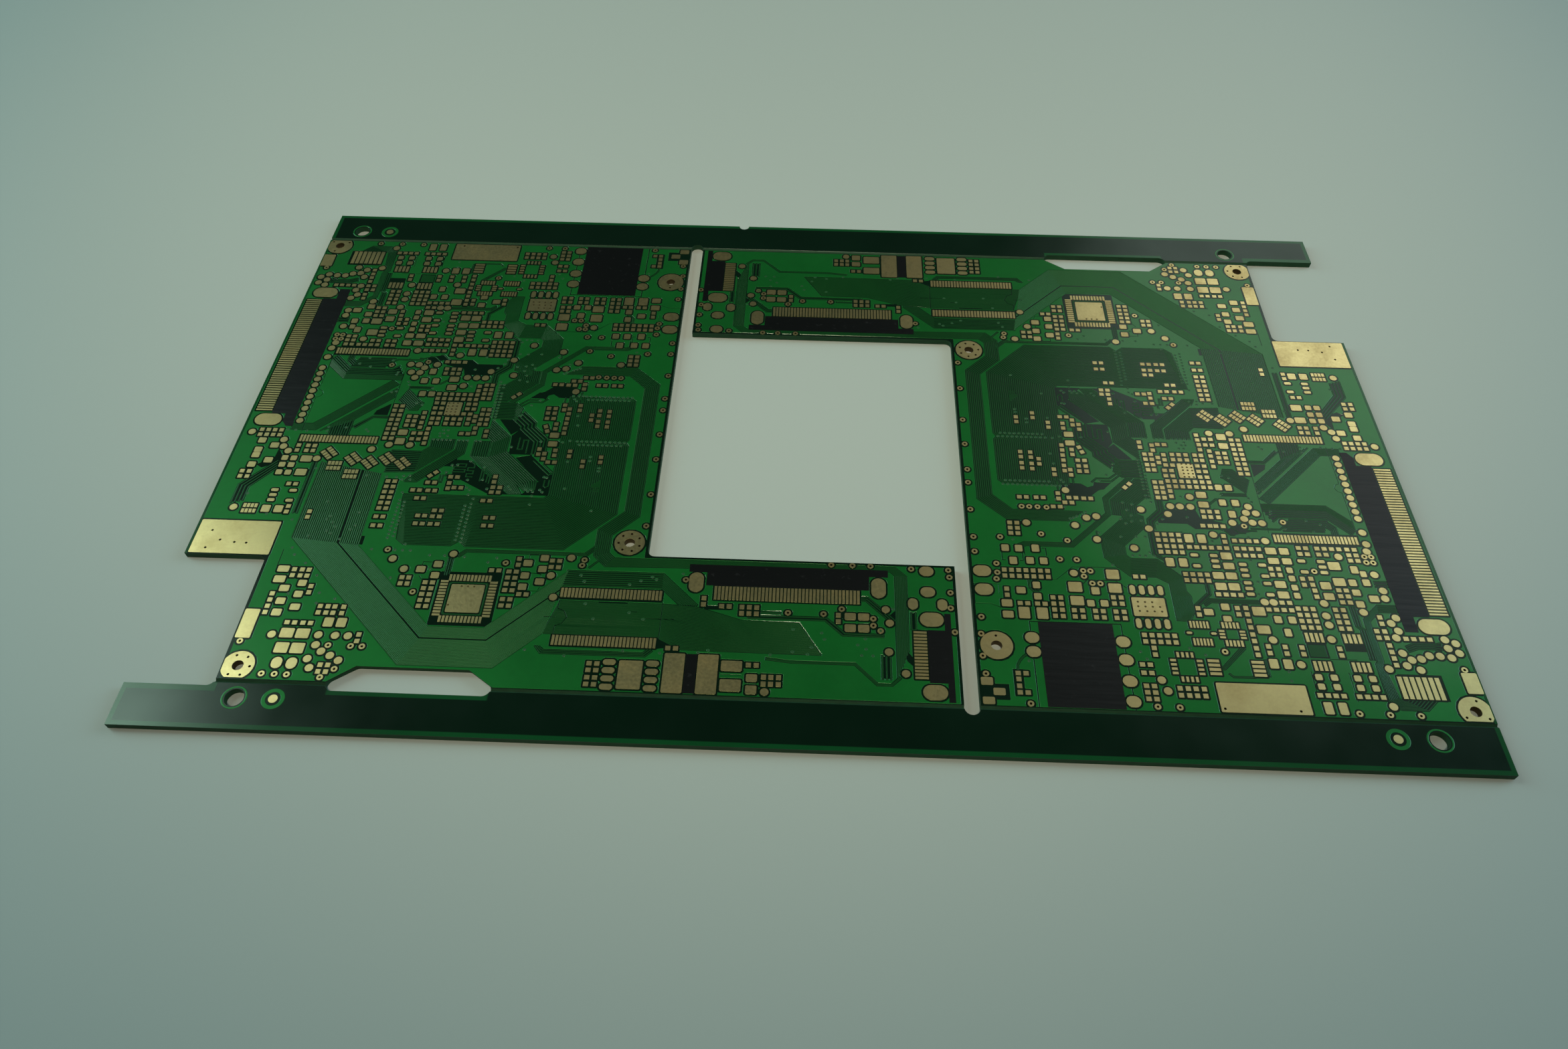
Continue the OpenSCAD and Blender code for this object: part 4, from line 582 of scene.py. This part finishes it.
def landRings(gap, names, sides=16):
    # every land's outline pushed out by gap: its support distance h(a) in each of the
    # directions a, and the corners where two neighbouring support lines cross
    angle = np.arange(sides) * 2 * np.pi / sides
    ways = np.c_[np.cos(angle), np.sin(angle)]
    rings = []
    for name in names:
        mesh = frame["nodes"][name].data
        spots = np.zeros(len(mesh.vertices) * 3, np.float32)
        mesh.vertices.foreach_get("co", spots)
        mesh.calc_loop_triangles()
        corners = np.zeros(len(mesh.loop_triangles) * 3, np.int32)
        mesh.loop_triangles.foreach_get("vertices", corners)
        spots, same = np.unique(np.round(spots.reshape(-1, 3) / mm, 3), axis=0, return_inverse=True)
        corners = same.reshape(-1)[corners].reshape(-1, 3)
        corners = corners[(spots[corners][:, :, 2] > boardTop + copperLook["rise"]).all(1)]
        # triangles that share corners become one patch: each corner takes the lowest number
        # in its triangle, then that corner's own number, until nothing changes
        patch = np.arange(len(spots))
        while True:
            lowest = patch.copy()
            np.minimum.at(lowest, corners.ravel(), np.repeat(patch[corners].min(1), 3))
            lowest = lowest[lowest]
            if (lowest == patch).all():
                break
            patch = lowest
        used = np.unique(corners)
        kinds, patch = np.unique(patch[used], return_inverse=True)
        reach = np.full((len(kinds), sides), -np.inf)
        np.maximum.at(reach, patch.reshape(-1), spots[used][:, :2] @ ways.T)
        reach = reach + gap
        ahead = np.roll(reach, -1, 1)
        turn = 2 * np.pi / sides
        x = (reach * np.sin(angle + turn) - ahead * np.sin(angle)) / np.sin(turn)
        y = (ahead * np.cos(angle) - reach * np.cos(angle + turn)) / np.sin(turn)
        rings.extend(np.stack([x, y], -1))
    return rings


def trimmed(ring, closest=1e-3):
    # the ring without corners that lie nearer than closest to the one before
    ring = np.asarray(ring)
    return ring[np.linalg.norm(ring - np.roll(ring, 1, 0), axis=1) > closest]


def filled(sheets, holes):
    # triangles of the sheets, less whatever a hole covers: each triangle comes with the
    # numbers of the rings that it lies in
    rings = [trimmed(r) for r in list(sheets) + list(holes)]
    sizes = np.array([len(r) for r in rings])
    starts = np.r_[0, np.cumsum(sizes)[:-1]]
    loops = [list(range(a, a + n)) for a, n in zip(starts, sizes)]
    insideOnly, closest = 1, 1e-5
    spots, _, faces, _, _, owners = delaunay_2d_cdt(
        np.concatenate(rings).tolist(), [], loops, insideOnly, closest, True)
    kept = [f for f, o in zip(faces, owners) if o and max(o) < len(sheets)]
    used, kept = np.unique(kept, return_inverse=True)     # points of holes outside the sheets go
    return np.array([tuple(s) for s in spots])[used], kept.reshape(-1, 3)


def raised(spots, faces, foot, top, shoulder):
    # the flat sheet at height top, with a skirt that leans out by shoulder down to foot; a
    # corner of the rim leans along the sum of the outward normals of its two sides
    tiny = 1e-9    # stands in for a length of 0
    edges = np.concatenate([faces[:, [0, 1]], faces[:, [1, 2]], faces[:, [2, 0]]])
    key = np.sort(edges, axis=1)
    _, back, count = np.unique(key, axis=0, return_inverse=True, return_counts=True)
    rim = edges[count[back.reshape(-1)] == 1]
    along = spots[rim[:, 1]] - spots[rim[:, 0]]
    along /= np.maximum(np.linalg.norm(along, axis=1), tiny)[:, None]
    outward = np.c_[along[:, 1], -along[:, 0]]
    lean = np.zeros_like(spots)
    np.add.at(lean, rim[:, 0], outward)
    np.add.at(lean, rim[:, 1], outward)
    lean /= np.maximum(np.linalg.norm(lean, axis=1), tiny)[:, None]
    on = np.unique(rim)
    low = np.full(len(spots), -1)
    low[on] = len(spots) + np.arange(len(on))
    upper = np.c_[spots, np.full(len(spots), top)]
    lower = np.c_[spots[on] + lean[on] * shoulder, np.full(len(on), foot)]
    one, other = rim.T
    skirt = np.r_[np.c_[other, one, low[one]], np.c_[other, low[one], low[other]]]
    return np.r_[upper, lower], np.r_[faces, skirt]


def bumps(places, foot, look):
    # a low dome on each place: a ring of points for every (radius, height above foot) of
    # the profile, joined by triangles and closed by a middle point
    n = look["sides"]
    angle = np.arange(n) * 2 * np.pi / n
    ring = np.c_[np.cos(angle), np.sin(angle)]
    rows = [np.c_[ring * r, np.full(n, foot + h)] for r, h in look["profile"]]
    dome = np.concatenate(rows + [np.array([[0, 0, foot + look["middle"]]])])
    i = np.arange(n)
    j = (i + 1) % n
    faces = []
    last = n * (len(rows) - 1)
    for row in range(0, last, n):
        faces.append(np.c_[row + i, row + j, row + n + j])
        faces.append(np.c_[row + i, row + n + j, row + n + i])
    faces.append(np.c_[last + i, last + j, np.full(n, len(dome) - 1)])
    shift = np.c_[np.asarray(places, float), np.zeros(len(places))][:, None]
    start = (np.arange(len(places)) * len(dome))[:, None, None]
    return (dome + shift).reshape(-1, 3), (np.concatenate(faces) + start).reshape(-1, 3)


# The copper of board A, with bare rings and lines cut out of it

foot = boardTop + copperLook["foot"]
top = boardTop + copperLook["rise"]
gap = copperLook["traceGap"]
landNames = [n for n in frame["nodes"] if n.startswith("a_") and not n.endswith("_ink")]
wideRings = landRings(copperLook["landGap"], landNames)
tightRings = landRings(copperLook["landGap"] * copperLook["nearShare"], landNames)

bundles = [(between(first, last, count), width) for first, last, count, width in buses]
widePaths = between(wideBus["first"], wideBus["last"], wideBus["count"])
widePaths = np.delete(widePaths, wideBus["missing"], 0)
wideStrips = [strip(path, wideBus["width"]) for path in widePaths]
runs = [(path, width) for paths, width in bundles for path in paths]
runs += [(np.asarray(path, float), width) for path, width in traces]
fields = [ccw(np.r_[paths[0], paths[-1][::-1]]) for paths in [b[0] for b in bundles] + [widePaths]]
viaPlaces = coveredVias + spread(viaRows)
clear = wideRings + fields + [ccw(a) for a in bareAreas]
clear += [strip(path, width + 2 * gap) for path, width in runs]
cutStrips = [strip(path, width) for path, width in cuts]
clear += cutStrips
pour = filled([ccw(boardEdge)], clear)
wide = filled(wideStrips, tightRings + cutStrips)
thin = filled([strip(path, width) for path, width in runs] + [ccw(a) for a in islands],
              tightRings + cutStrips)
print("copper outlined:", len(pour[1]), len(wide[1]), "and", len(thin[1]), "triangles")


coverLook = {
    # mask over copper: its colour, how much the copper under it mirrors, and the strength
    # and roughness of its gloss
    "maskedFill": {"colour": srgb(6, 112, 38), "metal": 0.62, "coat": 0.8, "rough": 0.14},
    "maskedTrace": {"colour": srgb(4, 76, 24), "metal": 0.62, "coat": 0.45, "rough": 0.2},
    # painted sheen: the wide bus is mask over copper like the other traces, but its lighter colour
    # stands in for the sheen of its sloped trace sides
    "maskedBusSheen": {"colour": srgb(30, 100, 42), "metal": 0.372, "coat": 0.45, "rough": 0.33},
    "coveredVia": {"colour": srgb(16, 74, 30), "metal": 0.0, "coat": 0.35, "rough": 0.3},
}
maskLook = {
    "bare": srgb(5, 25, 13),          # mask over bare laminate
    "edge": srgb(18, 62, 34),         # cut laminate of walls and scores
    "border": srgb(14, 70, 34),       # lighter rim of the rails
    "rail": srgb(6, 27, 15),
    "tint": (0.75, 1.0, 0.87),        # of what it mirrors
    "tones": (0.87, 1.13),            # darkest and lightest share of a colour in its clouds
    "coverTones": (0.86, 1.12),       # and over copper
    "edgeTones": (0.6, 1),            # and in the cut laminate
    "rough": 0.16,
    "under": 0.42,                    # roughness of the copper seen through the mask
    "peel": 0.001,                    # height of the mask's ripple, mm
    "wall": (0.015, 0.035),           # where an edge's colour starts and is full, mm below
                                      # the upper face and above the lower one
    "clouds": 60,                     # noise scales: clouds, their grain over copper, patches
    "grain": 900,                     # of gloss, weave of the cut laminate, ripple
    "patches": 140,
    "weave": 700,
    "ripple": 1500,
}
railLook = {
    "width": 7.1,                     # from its outer side to the score, mm
    "border": 0.7,                    # width of the lighter rim, mm
    "boardRim": (0.4, 0.3),           # the boards' ends are lighter from here, mm from the end
    "free": 75.3,                     # it stands free beyond this, mm from the middle
    "notch": (40.2, 40.5, 60.9, 61.2),  # where the routed opening begins and ends
    "inner": 46.9,                    # how far out the rim on its inner side reaches
    "dotRing": (1.0, 1.45),           # ring of copper under the mask round a fiducial, radii
    "boreRing": (1.44, 1.62),         # and round a tooling hole
}
goldLook = {
    "clean": srgb(250, 232, 164),
    "stained": srgb(184, 152, 96),
    "barrel": srgb(92, 80, 58),       # plated walls of the holes, painted dark brown as the shade inside them; also the darker tone of the filled vias
    "filled": srgb(122, 104, 60),     # vias filled inside a land
    "rough": 0.28,
    "filledRough": 0.4,
    "depth": 0.04,                    # how far down a wall its colour is full, mm
    "stains": 160,                    # noise scales: stains, grain, unevenness, and the last
    "grain": 2600,                    # two for the filled vias
    "uneven": 1800,
    "filledGrain": 2200,
    "filledUneven": 3000,
    "ripple": 0.002,                  # height of the unevenness, mm, and on the filled vias
    "filledRipple": 0.003,
}
inkLook = {
    "face": srgb(4, 6, 5),
    "worn": srgb(24, 26, 26),
    "rough": 0.36,
    "specks": 1100,                   # noise scales: specks, streaks
    "streaks": 750,
    "ripple": 0.05,                   # height of the streaks, mm
}


def coverFinish(name, colour, metal, coat, rough):
    # green mask over copper: a clear gloss coat over a dull green metal, slightly cloudy
    look = Finish(name, IOR=1.5, Metallic=metal, Coat_Weight=coat, Coat_Roughness=rough)
    cloud = look.noise(maskLook["clouds"], 3.0).ramp(0.3, 0.7)
    fine = look.noise(maskLook["grain"], 2.0).ramp(0.25, 0.75)
    patch = look.noise(maskLook["patches"], 2.0).ramp(0.2, 0.8)
    look.set(Base_Color=look.tones(cloud * 0.7 + fine * 0.3, colour, maskLook["coverTones"]),
             Roughness=patch * 0.1 + maskLook["under"])
    look.bump(look.noise(maskLook["ripple"], 2.0), maskLook["peel"] * mm)
    return look


covers = {name: coverFinish(name, **look) for name, look in coverLook.items()}

filledVia = Finish("filledVia", Metallic=1.0)
grime = filledVia.noise(goldLook["filledGrain"], 3.0).ramp(0.3, 0.7)
filledVia.set(Base_Color=filledVia.mix(grime, goldLook["filled"], goldLook["barrel"]),
              Roughness=grime * 0.12 + goldLook["filledRough"])
filledVia.bump(filledVia.noise(goldLook["filledUneven"], 2.0), goldLook["filledRipple"] * mm)

green = Finish("laminate", IOR=1.5, Specular_Tint=maskLook["tint"])
across, along, height = [green.axis(name) for name in "XYZ"]
toEnd, toSide = across.maths("ABSOLUTE"), along.maths("ABSOLUTE")
high = np.array(cadBox[1]) / mm
# the rim runs along the outer side and the ends of each rail, and where no board joins it
rimEnd, rimSide = high[:2] - railLook["border"]
ends = toEnd.ramp(rimEnd, rimEnd + 0.15)
outside = toSide.ramp(rimSide, rimSide + 0.15)
ownSide = across * along.maths("SIGN")
free = ownSide.ramp(railLook["free"], railLook["free"] + 0.1)
window = ownSide.ramp(*railLook["notch"][:2]) * ownSide.ramp(*railLook["notch"][:1:-1])
inner = toSide.ramp(railLook["inner"] + 0.1, railLook["inner"])
rim = outside.maths("MAXIMUM", ends).maths("MAXIMUM", inner * free.maths("MAXIMUM", window))
score = high[1] - railLook["width"]
isRail = toSide.ramp(score, score + 0.2)
boardEnds = toEnd.ramp(*[high[0] - inset for inset in railLook["boardRim"]])
cloud = green.noise(maskLook["clouds"], 3.0).ramp(0.3, 0.7)
shades = {kind: green.tones(cloud, maskLook[kind], maskLook["tones"])
          for kind in ("bare", "rail", "border")}
face = green.mix(isRail, green.mix(boardEnds, shades["bare"], shades["border"]),
                 green.mix(rim, shades["rail"], shades["border"]))
weave = green.noise(maskLook["weave"], 2.0, stretch=(1, 1, 6)).ramp(0.3, 0.7)
wall = green.tones(weave, maskLook["edge"], maskLook["edgeTones"])
start, full = maskLook["wall"]
isWall = height.ramp(boardTop - start, boardTop - full) * height.ramp(start, full)
patch = green.noise(maskLook["patches"], 2.0).ramp(0.2, 0.8)
green.set(Base_Color=green.mix(isWall, face, wall),
          Roughness=isWall * 0.5 + (patch * 0.08 + maskLook["rough"]))
green.bump(green.noise(maskLook["ripple"], 2.0), maskLook["peel"] * mm)

gold = Finish("flatGold", Metallic=1.0)
stain = gold.noise(goldLook["stains"], 5.0, 0.65).ramp(0.42, 0.72)
grain = gold.noise(goldLook["grain"], 2.0).ramp(0.2, 0.8)
goldShade = gold.mix(stain * 0.5 + grain * 0.2, goldLook["clean"], goldLook["stained"])
# painted shade: the gold turns to the dark barrel colour down the walls of the holes, full at depth
# below the board's face
barrel = gold.axis("Z").ramp(boardTop, boardTop - goldLook["depth"])
gold.set(Base_Color=gold.mix(barrel, goldShade, goldLook["barrel"]),
         Roughness=barrel * 0.25 + (grain * 0.08 + (stain * 0.08 + goldLook["rough"])))
gold.bump(gold.noise(goldLook["uneven"], 3.0), goldLook["ripple"] * mm)

ink = Finish("blackInk", IOR=1.45)
speck = ink.noise(inkLook["specks"], 3.0, 0.7).ramp(0.62, 0.8)
ink.set(Base_Color=ink.mix(speck, inkLook["face"], inkLook["worn"]),
        Roughness=speck * 0.15 + inkLook["rough"])
ink.bump(ink.noise(inkLook["streaks"], 2.0, stretch=(0.12, 1, 1)), inkLook["ripple"] * mm)


def finishOf(name):
    # the finish of a CAD piece, told by its name
    if name == "panel":
        return green
    return ink if name.endswith("_ink") else gold


for name, node in frame["nodes"].items():
    node.data.materials.clear()
    node.data.materials.append(finishOf(name).material)
    node.data.polygons.foreach_set("material_index", np.zeros(len(node.data.polygons), int))
print("finishes made")


# The copper pieces of both boards: board B's are board A's after half a turn

viaLook = {
    "sides": 8,
    "profile": [(0.25, 0.001), (0.21, 0.024), (0.11, 0.026)],   # radius and height, mm
    "middle": 0.012,
}
padViaLook = {
    "sides": 8,
    "profile": [(0.16, 0.0005), (0.14, 0.004), (0.09, 0.004)],
    "middle": 0.001,
}
lean = copperLook["shoulder"]
thinTop = boardTop + copperLook["thinRise"]
shapes = {
    "fill": (raised(*pour, foot, top, lean), covers["maskedFill"]),
    "traces": (raised(*thin, foot, thinTop, lean), covers["maskedTrace"]),
    # the wide bus, in the lighter mask colour that holds its painted sheen
    "bus": (raised(*wide, foot, top, lean), covers["maskedBusSheen"]),
    "vias": (bumps(viaPlaces, boardTop, viaLook), covers["coveredVia"]),
    "pad_vias": (bumps(spread(padViaRows), landTop, padViaLook), filledVia),
}
for board, turn in (("a", 1), ("b", -1)):
    for kind, ((spots, faces), look) in shapes.items():
        spots = spots * (turn, turn, 1) * mm
        slot = "plated" if kind == "pad_vias" else "laminate"
        meshObject(board + "_" + kind, spots, faces, look.material, slot)

# the rings round the fiducials and the tooling holes of the rails
dots = [ring.mean(0) for ring in landRings(0, ["rail_fiducials"])]
mounts = [mount for mount in frame["record"]["mounts"] if mount["name"].startswith("tooling")]
bores = [np.array(mount["pos_m"][:2]) / mm for mount in mounts]
outer, holes = [[*disc(dots, railLook["dotRing"][side]), *disc(bores, railLook["boreRing"][side])]
                for side in (1, 0)]
spots, faces = raised(*filled(outer, holes), foot, top, lean)
meshObject("rail_rings", spots * mm, faces, covers["maskedFill"].material, "laminate")
print("copper placed")
